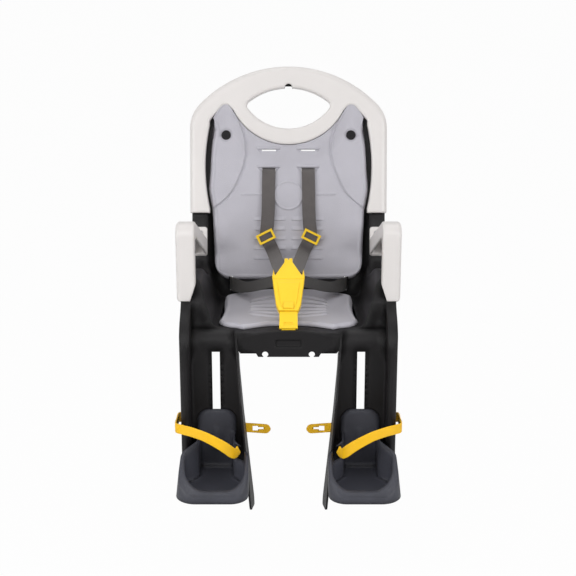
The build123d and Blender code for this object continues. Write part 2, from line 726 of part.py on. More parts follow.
def back_pad_lines():
    """Raised lines that curve from the collar down to the pad's sides."""
    top_x, middle_x, end_x = rail_in_x - 53.5, rail_in_x - 67.5, rail_in_x - 13.5
    bend = (top_x + 1, slot_rows[0] - 19)
    line = ThreePointArc((top_x, ear_corner), (middle_x, slot_rows[1] - 6), bend)
    line += ThreePointArc(bend, (top_x + 14, back_pad_wing - 5), (end_x, back_pad_wide + back_pad_rim))
    return [trace(line, 3), mirror(trace(line, 3), about=Plane.YZ)]


def back_pad():
    """Moulded foam pad with a raised rim, ribs, a plain round boss and the strap slots."""
    edge = back_pad_edge()
    pad = off_back(edge, seat_gap, back_pad_field)
    pad += off_back(edge - offset(edge, -back_pad_rim), seat_gap, back_pad_front)
    rib_width = back_rib_out_x - back_rib_in_x
    rib_x = (back_rib_out_x + back_rib_in_x) / 2
    raised = [
        Pos(sign * rib_x, s) * SlotOverall(rib_width, back_rib_height)
        for s in back_rib_rows for sign in (-1, 1)
    ]
    start = back_pad_field - back_rib_rise
    pad += off_back(Sketch() + raised, start, back_pad_field + back_rib_rise)
    pad += off_back(Sketch() + back_pad_lines(), start, back_pad_field + disc_rise)
    pad += off_back(Pos(0, disc_s) * Circle(disc_radius), start, back_pad_field + disc_rise)
    slots = strap_slots(0.5) + lap_slots(lap_notch)
    pad -= off_back(Sketch() + slots, -cut_extra, back_pad_front + cut_extra)
    holes = [Pos(sign * rivet_x, rivet_s) * Circle(rivet_shank + screw_clearance) for sign in (-1, 1)]
    pad -= off_back(Sketch() + holes, -cut_extra, back_pad_front + cut_extra)
    return pad


def pad_rivets():
    """Two push rivets that hold the back pad's ears to the backrest plate."""
    start = back_pad_field + seat_gap
    rivets = []
    for sign in (-1, 1):
        head = off_back(Pos(sign * rivet_x, rivet_s) * Circle(rivet_radius), start, start + rivet_head)
        head = fillet(front_edges(head, BACK), 1.2)
        shank = off_back(Pos(sign * rivet_x, rivet_s) * Circle(rivet_shank), -wall - 3, start)
        dimple = off_back(Pos(sign * rivet_x, rivet_s) * Circle(1.6), start + 1, start + rivet_head)
        rivets.append(head + shank - dimple)
    return Compound(children=rivets)


def seat_pad():
    """Moulded foam pad on the pan, with fanned grooves and a scalloped front edge."""
    half = (
        FilletPolyline(
            (0, seat_pad_rear_y), (seat_pad_half, seat_pad_rear_y),
            (seat_pad_waist_x, seat_pad_waist_y), radius=[14])
        + ThreePointArc(
            (seat_pad_waist_x, seat_pad_waist_y), (seat_pad_waist_x + 2, seat_pad_waist_y - 38),
            (seat_pad_tip_x, seat_pad_tip_y))
        + ThreePointArc(
            (seat_pad_tip_x, seat_pad_tip_y), (108, 2), (seat_pad_lobe_x, seat_pad_lobe_y))
        + ThreePointArc(
            (seat_pad_lobe_x, seat_pad_lobe_y), (50, 3), (0, seat_pad_front_y))
    )
    pad = along_z(symmetric_face(half), pan_z + seat_gap, seat_pad_top)
    for step in range(seat_rib_count):
        y = seat_rib_first_y + step * seat_rib_pitch
        bow = ThreePointArc((-seat_rib_half, y - seat_rib_bow), (0, y), (seat_rib_half, y - seat_rib_bow))
        pad -= along_z(trace(bow, seat_rib_groove), seat_pad_top - 1.6, seat_pad_top + cut_extra)
    hump_gap = crotch_hump(-seat_gap)
    return pad - hump_gap


def band(stations, width, thickness):
    """Flat strap through stations, each a point, the way its width lies and the way it runs."""
    sections = [
        Plane(origin=point, x_dir=across, z_dir=along) * Rectangle(width, thickness)
        for point, across, along in stations
    ]
    return loft(sections, ruled=True)


def strap_loop(slot, run_front):
    """Side view of a strap end stitched round its bar, with the run through its slot."""
    rear = strap_bar_lift()
    inner = strap_bar_radius + web_clearance
    outer = inner + web_thickness
    centre = slot + inner + web_thickness / 2
    ring = Pos(centre, rear) * (Circle(outer) - Circle(inner))
    run = Pos(slot, (rear + run_front) / 2) * Rectangle(web_thickness, run_front - rear)
    return ring + run


def strap_bar_lift():
    """Where the middle of a strap's bar lies behind the backrest's face."""
    return -wall - seat_gap - strap_bar_radius - web_clearance - web_thickness


def adjuster_axes():
    """Middle of the right adjuster, the way its width lies and the way the strap runs through it."""
    tilt = radians(adjuster_tilt)
    across = BACK.x_dir * cos(tilt) - BACK.y_dir * sin(tilt)
    along = BACK.x_dir * -sin(tilt) - BACK.y_dir * cos(tilt)
    middle = on_back(adjuster_x, adjuster_s, back_pad_front + adjuster_lift)
    return middle, across, along


def shoulder_strap():
    """Right shoulder strap: loop, slot, run down the pad, adjuster, and on to the tongue."""
    lift = back_pad_front + strap_lift
    loop = strap_loop(slot_rows[0], lift - web_thickness)
    loop = across_back(loop, slot_x - web_width / 2, slot_x + web_width / 2)
    middle, across, along = adjuster_axes()
    down = -BACK.y_dir
    bend = BACK.from_local_coords(Vector(slot_x, slot_rows[0], lift - web_thickness))
    tongue = BUCKLE.from_local_coords(Vector(
        (tongue_prong_half + tongue_v_half) / 2, (tongue_prong_foot + tongue_v) / 2, strap_end_lift))
    kink = middle + along * strap_straight
    forward = (tongue - kink).normalized()
    end = tongue + forward * web_width
    run = band([
        (bend + BACK.z_dir * -web_thickness, BACK.x_dir, BACK.z_dir),
        (bend, BACK.x_dir, (BACK.z_dir + down).normalized()),
        (on_back(slot_x, slot_rows[0] - 12, lift), BACK.x_dir, down),
        (on_back(slot_x, adjuster_s + 32, back_pad_front + adjuster_lift), BACK.x_dir, down),
        (middle - along * adjuster_height * 0.6, across, along),
        (kink, across, along),
        (kink + (along + forward) * 6, across, (along + forward).normalized()),
        (end, BUCKLE.x_dir * cos(radians(20)) - BUCKLE.y_dir * sin(radians(20)), forward),
    ], web_width, web_thickness)
    strap = loop + run - off_buckle(tongue_outline(strap_end_gap), -big / 4, big / 4)
    return strap.solids().sort_by(SortBy.VOLUME)[-1]


def strap_adjuster():
    """Right adjuster: two bars in front of the strap, one behind it, joined by side rails."""
    middle, across, along = adjuster_axes()
    plane = Plane(origin=middle, x_dir=across, z_dir=across.cross(along) * -1)
    half_gap = web_thickness / 2 + web_clearance
    rail_x = (adjuster_width - adjuster_bar) / 2
    bar_y = (adjuster_height - adjuster_bar) / 2
    depth = 2 * (half_gap + adjuster_thickness)
    front = [Pos(0, y) * Rectangle(adjuster_width, adjuster_bar) for y in (-bar_y, bar_y)]
    body = extrude(plane.offset(half_gap) * (Sketch() + front), adjuster_thickness, dir=plane.z_dir)
    rear = Rectangle(adjuster_width, adjuster_bar * 1.4)
    body += extrude(plane.offset(-half_gap) * rear, adjuster_thickness, dir=plane.z_dir * -1)
    rails = [Pos(x, 0) * RectangleRounded(adjuster_bar, adjuster_height, adjuster_bar / 2 - 0.2)
             for x in (-rail_x, rail_x)]
    return body + extrude(plane.offset(-depth / 2) * (Sketch() + rails), depth, dir=plane.z_dir)


def shoulder_strap_bar():
    """Right bar behind the backrest that the shoulder strap's loop is sewn round."""
    centre = slot_rows[0] + strap_bar_radius + web_clearance + web_thickness / 2
    return across_back(Pos(centre, strap_bar_lift()) * Circle(strap_bar_radius),
                       slot_x - strap_bar_half, slot_x + strap_bar_half)


def lap_plane():
    """Plane across the backrest at the foot of the lap strap's loop, drawn in (x, in front)."""
    foot = (lap_slot_foot + lap_slot_top - web_width) / 2
    return Plane(origin=on_back(0, foot, 0), x_dir=BACK.x_dir, z_dir=BACK.y_dir * -1)


def lap_strap():
    """Right lap strap: loop, slot beside the pad, and a run to the back of the tongue."""
    loop = extrude(lap_plane() * strap_loop(lap_slot_x, back_pad_field), web_width, dir=BACK.y_dir)
    slot_middle = (lap_slot_foot + lap_slot_top) / 2
    mouth = on_back(lap_slot_x, slot_middle, back_pad_field)
    lift = -2 * seat_gap - web_thickness / 2
    tongue_in = BUCKLE.from_local_coords(Vector(12, lap_end, lift))
    tongue_out = BUCKLE.from_local_coords(Vector(38, lap_end - 8, lift - 2))
    inward = (tongue_out - mouth).normalized()
    run = band([
        (mouth, BACK.y_dir, BACK.z_dir),
        (mouth + BACK.z_dir * 8 + inward * 6, BACK.y_dir, (BACK.z_dir + inward).normalized()),
        (tongue_out, BUCKLE.y_dir, (inward - BUCKLE.x_dir).normalized()),
        (tongue_in, BUCKLE.y_dir, BUCKLE.x_dir * -1),
    ], web_width, web_thickness)
    return loop + run


def lap_strap_bar():
    """Right bar behind the backrest that the lap strap's loop is sewn round."""
    centre = lap_slot_x + strap_bar_radius + web_clearance + web_thickness / 2
    circle = Pos(centre, strap_bar_lift()) * Circle(strap_bar_radius)
    start = lap_plane().offset((strap_bar_half - web_width / 2))
    return extrude(start * circle, 2 * strap_bar_half, dir=BACK.y_dir)


def tongue_outline(gap):
    """Front view of the buckle's tongue: prong, strap notches and horns, grown by gap."""
    half = Polyline(
        (0, tongue_top), (tongue_prong_half, tongue_top), (tongue_prong_half, tongue_prong_foot),
        (tongue_v_half, tongue_v), (tongue_horn_half, tongue_horn), (tongue_wide_half, tongue_wide),
        (buckle_seam_half, buckle_seam), (0, buckle_seam),
    )
    face = symmetric_face(half)
    return offset(face, gap, kind=Kind.INTERSECTION) if gap else face


def buckle_tongue():
    """Tongue that joins the shoulder and lap straps, with the plate that goes into the body."""
    head = off_buckle(tongue_outline(0), tongue_back, tongue_front)
    head = fillet(front_edges(head, BUCKLE), 1.5)
    split = Pos(0, tongue_top) * Rectangle(1.6, 8)
    head -= off_buckle(split, tongue_back - cut_extra, tongue_front + cut_extra)
    length = buckle_seam + 2 - tongue_plate_foot
    plate = Pos(0, tongue_plate_foot + length / 2) * RectangleRounded(2 * tongue_plate_half, length, 4)
    window = Pos(0, tongue_plate_foot + 11) * RectangleRounded(14, 8, 1.5)
    return head + off_buckle(plate - window, tongue_plate_back, tongue_plate_front)


def buckle_outline():
    """Front view of the buckle's body, which narrows to a stepped foot."""
    half = Polyline(
        (0, buckle_seam - seat_gap), (buckle_seam_half, buckle_seam - seat_gap),
        (buckle_step_half, buckle_step), (buckle_foot_half, buckle_foot), (0, buckle_foot),
    )
    return symmetric_face(half)


def buckle_body():
    """Front shell of the buckle with the tongue's mouth, the button's hole and a raised panel."""
    outline = buckle_outline()
    start = buckle_back_depth + seat_gap
    body = off_buckle(outline, start, buckle_depth - 1.2)
    body = fillet(front_edges(body, BUCKLE), 2)
    panel = offset(outline, -buckle_panel_inset, kind=Kind.INTERSECTION)
    body += off_buckle(panel, start + 3, buckle_depth)
    hollow = off_buckle(offset(outline, -buckle_wall, kind=Kind.INTERSECTION),
                        start - cut_extra, buckle_depth - 1.2 - buckle_wall)
    body -= hollow
    mouth_half = tongue_plate_half + 2 * web_clearance
    mouth = Pos(0, buckle_seam) * Rectangle(2 * mouth_half, 3 * buckle_wall)
    body -= off_buckle(mouth, start - cut_extra, tongue_plate_front + web_clearance)
    hole_middle = (button_foot + button_top) / 2
    hole = Pos(0, hole_middle) * RectangleRounded(
        2 * (button_half + button_gap), button_top - button_foot + 2 * button_gap, 1.5)
    body -= off_buckle(hole, start, buckle_depth + cut_extra)
    tab_height = 2 * (cut_extra + seat_gap) + 4
    tab = Pos(0, tab_top - cut_extra) * Rectangle(2 * (tab_half + seat_gap), tab_height)
    return body - off_buckle(tab, tab_back - seat_gap, tab_front + seat_gap)


def buckle_back():
    """Flat rear cover of the buckle."""
    return off_buckle(buckle_outline(), 0, buckle_back_depth)


def release_button():
    """Square release button with the flange that keeps it in the body."""
    middle, length = (button_foot + button_top) / 2, button_top - button_foot
    top = buckle_depth + button_rise
    flange_top = buckle_depth - 1.2 - buckle_wall - button_gap
    cap = off_buckle(Pos(0, middle) * RectangleRounded(2 * button_half, length, 1.2), flange_top - 1, top)
    cap = fillet(front_edges(cap, BUCKLE), 0.7)
    flange = Pos(0, middle) * Rectangle(2 * (button_half + button_flange), length + button_flange)
    return cap + off_buckle(flange, flange_top - button_flange, flange_top)


def release_spring():
    """Arched leaf spring between the rear cover and the button."""
    top = buckle_depth - 1.2 - buckle_wall - button_gap - button_flange - spring_thickness - 0.1
    foot = buckle_back_depth + spring_thickness / 2 + 0.1
    middle = (button_foot + button_top) / 2
    span = (button_top - button_foot) / 2
    arch = ThreePointArc((middle - span, foot), (middle, top), (middle + span, foot))
    face = trace(arch, spring_thickness)
    return extrude(BUCKLE_SIDE.offset(-4) * face, 8, dir=(1, 0, 0))


def crotch_tab():
    """Plate between the buckle and the pan, with a sunk grip and a neck into the pan."""
    plate = Pos(0, (tab_foot + tab_top) / 2) * Rectangle(2 * tab_half, tab_top - tab_foot)
    slot_middle = (tab_slot_foot + tab_slot_top) / 2
    slot = Pos(0, slot_middle) * RectangleRounded(2 * tab_slot_half, tab_slot_top - tab_slot_foot, 2)
    tab = off_buckle(plate, tab_back, tab_front)
    tab -= off_buckle(slot, tab_front - tab_slot_depth, tab_front + cut_extra)
    neck_depth = tab_neck_rear_y - tab_neck_front_y
    neck = Pos(0, tab_neck_front_y + neck_depth / 2) * Rectangle(2 * tab_neck_half, neck_depth)
    tab += along_z(neck, tab_neck_foot_z, buckle_z + tab_neck_rise)
    hole = Pos((tab_neck_front_y + tab_neck_rear_y) / 2, anchor_z) * Circle(anchor_radius + web_clearance)
    return tab - along_x(hole, -big / 2, big / 2)


def crotch_anchor():
    """Pin under the pan that keeps the crotch tab's neck from pulling out."""
    middle = (tab_neck_front_y + tab_neck_rear_y) / 2
    return along_x(Pos(middle, anchor_z) * Circle(anchor_radius), -anchor_half, anchor_half)


def cup_plan(half, front_y, out_extra, grow):
    """Foot cup seen from above: narrow heel inside the channel, wide round front."""
    heel = heel_half - foot_wall / 2
    rear_y = heel_rear_y - 0.5
    outline = FilletPolyline(
        (track_x - heel, rear_y),
        (track_x - heel, cup_flare_y),
        (track_x - half, cup_flare_y - 24),
        (track_x - half, front_y),
        (track_x + half + out_extra, front_y),
        (track_x + half + out_extra, cup_flare_y - 24),
        (track_x + heel, cup_flare_y),
        (track_x + heel, rear_y),
        radius=[5, 14, 20, 32, 36, 20, 14, 5],
        close=True,
    )
    face = make_face(outline)
    return offset(face, grow) if grow else face


def cup_loft(low_half, low_front, low_z, out_extra, grow):
    """Ruled form from a low plan up to the rim's plan."""
    low = Plane.XY.offset(low_z) * cup_plan(low_half, low_front, out_extra, grow)
    high = Plane.XY.offset(cup_rim_z) * cup_plan(cup_half, cup_front_y, 0, grow)
    return loft([low, high], ruled=True)


def above_rim(drop):
    """Everything above the cup's rim, which falls from the heel to the lip, lowered by drop."""
    rear_y, rim, lip = heel_rear_y + 1, cup_rim_z - drop, cup_lip_z - drop
    outline = Polyline((rear_y, big), (rear_y, rim + 6), (cup_rim_y, rim))
    outline += ThreePointArc((cup_rim_y, rim), (cup_rim_mid_y, cup_rim_mid_z - drop), (cup_front_y, lip))
    outline += Polyline((cup_front_y, lip), (-big, lip), (-big, big), (rear_y, big))
    return along_x(make_face(outline), 0, big)


def footrest():
    """Right footrest: heel plate, flared foot cup with a bulged sole, and the neck for its slot."""
    sole_front, floor_front = cup_front_y - 2, cup_front_y + 6
    cup = cup_loft(cup_half, sole_front, sole_z, cup_bulge, 0)
    hollow = cup_loft(cup_half, sole_front, sole_z - 0.01, cup_bulge, -foot_wall)
    hollow -= cup_loft(cup_floor_half, floor_front, cup_floor_z - foot_wall, 0, 0)
    cup -= hollow - above_rim(foot_wall)
    cup -= cup_loft(cup_floor_half, floor_front, cup_floor_z, 0, -foot_wall)
    cup -= above_rim(0)
    low_z = sole_z + 1
    heel = FilletPolyline(
        (track_x - heel_half, low_z), (track_x - heel_half, heel_top_z),
        (track_x + heel_half, heel_top_z), (track_x + heel_half, low_z),
        radius=[0, heel_round, heel_round, 0], close=True,
    )
    cup += along_y(make_face(heel), heel_rear_y - foot_wall - 0.5, heel_rear_y)
    slot = Pos(strap_slot_y, strap_slot_z) * RectangleRounded(strap_slot_width, foot_web_width + 8, 3)
    cup -= along_x(slot, 0, track_x - heel_half + 6)
    neck_z, neck_height = (neck_foot_z + neck_top_z) / 2, neck_top_z - neck_foot_z
    neck = Pos(track_x, neck_z) * Rectangle(2 * neck_half, neck_height)
    neck -= Pos(track_x, foot_screw_z) * Circle(screw_radius + screw_clearance / 2)
    return cup + along_y(neck, heel_rear_y - foot_wall, leg_wall_y + wall + seat_gap)


def footrest_slider():
    """Right slider behind the leg's wall, with the peg that holds the foot strap."""
    middle_z, height = (slider_foot_z + slider_top_z) / 2, slider_top_z - slider_foot_z
    face = Pos(track_x, middle_z) * RectangleRounded(2 * slider_half, height, 5)
    face -= Pos(track_x, foot_screw_z) * Circle(screw_radius + screw_clearance)
    slider = along_y(face, leg_wall_y + wall + seat_gap, slider_rear_y)
    peg_end = slider_rear_y + 2 * seat_gap + foot_web_thickness
    peg = Pos(track_x, peg_z)
    slider += along_y(peg * Circle(peg_radius), slider_rear_y, peg_end + 2)
    return slider + along_y(peg * Circle(peg_head_radius), peg_end, peg_end + 2)


def foot_strap():
    """Right rubber foot strap: over the foot, round the leg and behind it to its free tail."""
    up = Vector(0, 0, 1)
    points = [Vector(*point) for point in foot_strap_route()]
    stations = []
    for index, point in enumerate(points):
        before, after = points[max(index - 1, 0)], points[min(index + 1, len(points) - 1)]
        along = (after - before).normalized()
        across = (up - along * along.dot(up)).normalized()
        stations.append((point, across, along))
    strap = band(stations, foot_web_width, foot_web_thickness)
    hole = Pos(track_x, peg_z) * Circle(peg_radius + web_clearance)
    strap -= along_y(hole, slider_rear_y - cut_extra, slider_rear_y + 4 * cut_extra)
    tail = points[-1]
    slot = Pos(tail.X + 26, tail.Z + 2) * SlotOverall(18, 6)
    return strap - along_y(slot, slider_rear_y, big)


def foot_strap_route():
    """Middle line of the right foot strap, from the cup's inner wall round to the tail."""
    rear = slider_rear_y + seat_gap + foot_web_thickness / 2
    outside = half_width + foot_web_thickness / 2 + strap_stand_off
    inner_x = track_x - heel_half
    through = [
        (inner_x - 19.5, strap_slot_y + 10, strap_slot_z + 4.5),
        (inner_x - 3.5, strap_slot_y - 6, strap_slot_z - 3),
    ]
    over = [(track_x + x, y, z) for x, y, z in strap_arch]
    behind = [
        (outside, strap_arch[-1][1] + 24, strap_side_z),
        (outside, 5, strap_side_z - 6.5),
        (outside - 14, rear, peg_z + 12),
        (track_x + 16, rear, peg_z),
        (track_x - 16, rear, peg_z),
        (inner_x - 0.5, rear + 9, peg_z - 9),
        (strap_tail_x, rear + 11, peg_z - 15),
    ]
    return through + over + behind


def fork_socket():
    """Housing under the pan with two round bores for the rods of the support fork."""
    tubes = [Pos(sign * rod_x, rod_z) * Circle(socket_radius) for sign in (-1, 1)]
    web = Pos(0, rod_z) * Rectangle(2 * rod_x, socket_web)
    top = pan_z - wall - seat_gap
    upright = Rectangle(socket_web, top - rod_z)
    uprights = [Pos(sign * rod_x, (rod_z + top) / 2) * upright for sign in (-1, 1)]
    section = Sketch() + tubes + web + uprights
    section -= [Pos(sign * rod_x, rod_z) * Circle(rod_radius + rod_clearance) for sign in (-1, 1)]
    socket = along_y(section, socket_front_y, socket_front_y + socket_length)
    clamp_y = (clamp_front_y + clamp_rear_y) / 2
    hole = Circle(screw_radius + screw_clearance / 2)
    holes = [Pos(sign * clamp_screw_x, clamp_y) * hole for sign in (-1, 1)]
    return socket - along_z(Sketch() + holes, -big, big)


def fork_clamp_plate():
    """Plate screwed under the housing, across both rods."""
    top = rod_z - socket_radius - seat_gap
    clamp_y = (clamp_front_y + clamp_rear_y) / 2
    face = Pos(0, clamp_y) * RectangleRounded(2 * clamp_half, clamp_rear_y - clamp_front_y, 6)
    face -= [Pos(sign * clamp_screw_x, clamp_y) * Circle(screw_radius + screw_clearance) for sign in (-1, 1)]
    plate = along_z(face, top - clamp_thickness, top)
    pads = [Pos(sign * clamp_screw_x, clamp_y) * (
        Circle(boss_radius) - Circle(screw_radius + screw_clearance)) for sign in (-1, 1)]
    return plate + along_z(Sketch() + pads, top, rod_z - socket_web / 2 - seat_gap)


def screw(head_plane, length):
    """Pan-head screw whose head stands on the plane and whose shank runs behind it."""
    head = extrude(head_plane * Circle(screw_head_radius), screw_head_height, dir=head_plane.z_dir)
    return head + extrude(head_plane * Circle(screw_radius), length, dir=head_plane.z_dir * -1)


def frame_screws():
    """Screws through the backrest plate into the head frame's bosses."""
    rear = BACK.z_dir * -1
    planes = [Plane(origin=on_back(x, s, -wall), z_dir=rear) for x, s in frame_screw_places()]
    return Compound(children=[screw(plane, screw_length) for plane in planes])


def armrest_screws():
    """Screws through the armrests' flanges into the backrest's wings."""
    lift = wing_height + seat_gap + flange_thickness
    x = (flange_in_x + flange_out_x) / 2
    planes = [Plane(origin=on_back(sign * x, flange_screw, lift), z_dir=BACK.z_dir) for sign in (-1, 1)]
    return Compound(children=[screw(plane, screw_length) for plane in planes])


def footrest_screws(sign):
    """Screw through a slider into its footrest's neck."""
    origin = (sign * track_x, slider_rear_y, foot_screw_z)
    return screw(Plane(origin=origin, z_dir=(0, 1, 0)), foot_screw_length)


def clamp_screws():
    """Screws that hold the clamp plate to the housing."""
    head_z = rod_z - socket_radius - seat_gap - clamp_thickness
    clamp_y = (clamp_front_y + clamp_rear_y) / 2
    return Compound(children=[
        screw(Plane(origin=(sign * clamp_screw_x, clamp_y, head_z), z_dir=(0, 0, -1)), screw_length)
        for sign in (-1, 1)])


def export(part, node):
    """Write one node's solids."""
    export_step(part, f"parts/{node}.step")


def export_pair(part, node):
    """Write the right-hand piece and its mirror image on the left."""
    export(part, f"{node}_right")
    export(mirror(part, about=Plane.YZ), f"{node}_left")


os.makedirs("parts", exist_ok=True)
for build_piece in (
    seat_shell, head_frame, back_pad, pad_rivets, seat_pad, buckle_tongue, buckle_body, buckle_back,
    release_button, release_spring, crotch_tab, crotch_anchor, fork_socket, fork_clamp_plate,
    frame_screws, armrest_screws, clamp_screws,
):
    export(build_piece(), build_piece.__name__)
for build_pair in (
    armrest, shoulder_strap, strap_adjuster, shoulder_strap_bar, lap_strap, lap_strap_bar,
    footrest, footrest_slider, foot_strap,
):
    export_pair(build_pair(), build_pair.__name__)
export(footrest_screws(1), "footrest_screw_right")
export(footrest_screws(-1), "footrest_screw_left")
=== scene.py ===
"""Looks of the rear child bike seat: finishes, moulded pads, webbing, rubber straps and studio."""
import logging
import math
from dataclasses import dataclass
from enum import Enum

import bpy
import numpy as np
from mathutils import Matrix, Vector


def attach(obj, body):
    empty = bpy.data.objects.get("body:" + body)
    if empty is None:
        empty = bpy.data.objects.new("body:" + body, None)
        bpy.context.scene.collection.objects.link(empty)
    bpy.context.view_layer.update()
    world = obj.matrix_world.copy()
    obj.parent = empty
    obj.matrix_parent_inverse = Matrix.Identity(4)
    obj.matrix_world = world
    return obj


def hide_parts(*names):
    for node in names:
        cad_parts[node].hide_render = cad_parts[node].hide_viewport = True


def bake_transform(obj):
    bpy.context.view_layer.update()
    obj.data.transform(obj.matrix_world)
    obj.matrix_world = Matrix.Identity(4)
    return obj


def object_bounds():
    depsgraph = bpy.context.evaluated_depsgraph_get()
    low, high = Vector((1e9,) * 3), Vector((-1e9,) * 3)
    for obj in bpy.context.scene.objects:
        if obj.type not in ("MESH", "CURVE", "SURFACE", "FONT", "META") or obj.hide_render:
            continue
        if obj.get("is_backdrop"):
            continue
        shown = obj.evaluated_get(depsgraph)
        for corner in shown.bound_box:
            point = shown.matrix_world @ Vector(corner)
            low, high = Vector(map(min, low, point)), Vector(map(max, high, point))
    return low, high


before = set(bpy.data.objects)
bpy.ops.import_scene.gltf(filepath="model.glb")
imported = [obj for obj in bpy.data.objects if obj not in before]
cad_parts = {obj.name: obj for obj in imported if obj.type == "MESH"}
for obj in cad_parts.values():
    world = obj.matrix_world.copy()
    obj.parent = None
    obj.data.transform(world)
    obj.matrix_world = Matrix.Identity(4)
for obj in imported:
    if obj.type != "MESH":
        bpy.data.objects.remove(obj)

LOG = logging.getLogger("bike_seat")
MM = 0.001


def linear(red: float, green: float, blue: float) -> tuple[float, float, float, float]:
    """Turn a colour written in display values from 0 to 255 into linear light.

    Args:
        red, green, blue: the colour's display values.

    Returns:
        The colour with an alpha of 1.
    """
    values = np.array([red, green, blue]) / 255.0
    low, high = values / 12.92, ((values + 0.055) / 1.055) ** 2.4
    return (*np.where(values <= 0.04045, low, high).tolist(), 1.0)


def smooth(low: float, high: float, value: np.ndarray) -> np.ndarray:
    """Smooth step from 0 at low to 1 at high, flat at both ends: 3t^2 - 2t^3."""
    t = np.clip((value - low) / (high - low), 0.0, 1.0)
    return t * t * (3.0 - 2.0 * t)


def bump(value: np.ndarray, half: float, soft: float) -> np.ndarray:
    """One inside a distance of half from zero, falling smoothly to 0 over the next soft."""
    return 1.0 - smooth(half, half + soft, np.abs(value))


class Grain(Enum):
    """How the fine relief of a finish is made."""

    FINE = "fine noise of a moulded surface"
    SOFT = "cells of soft foam"
    WEAVE = "ribs across and along a woven band"
    BRUSHED = "scratches of plated steel"


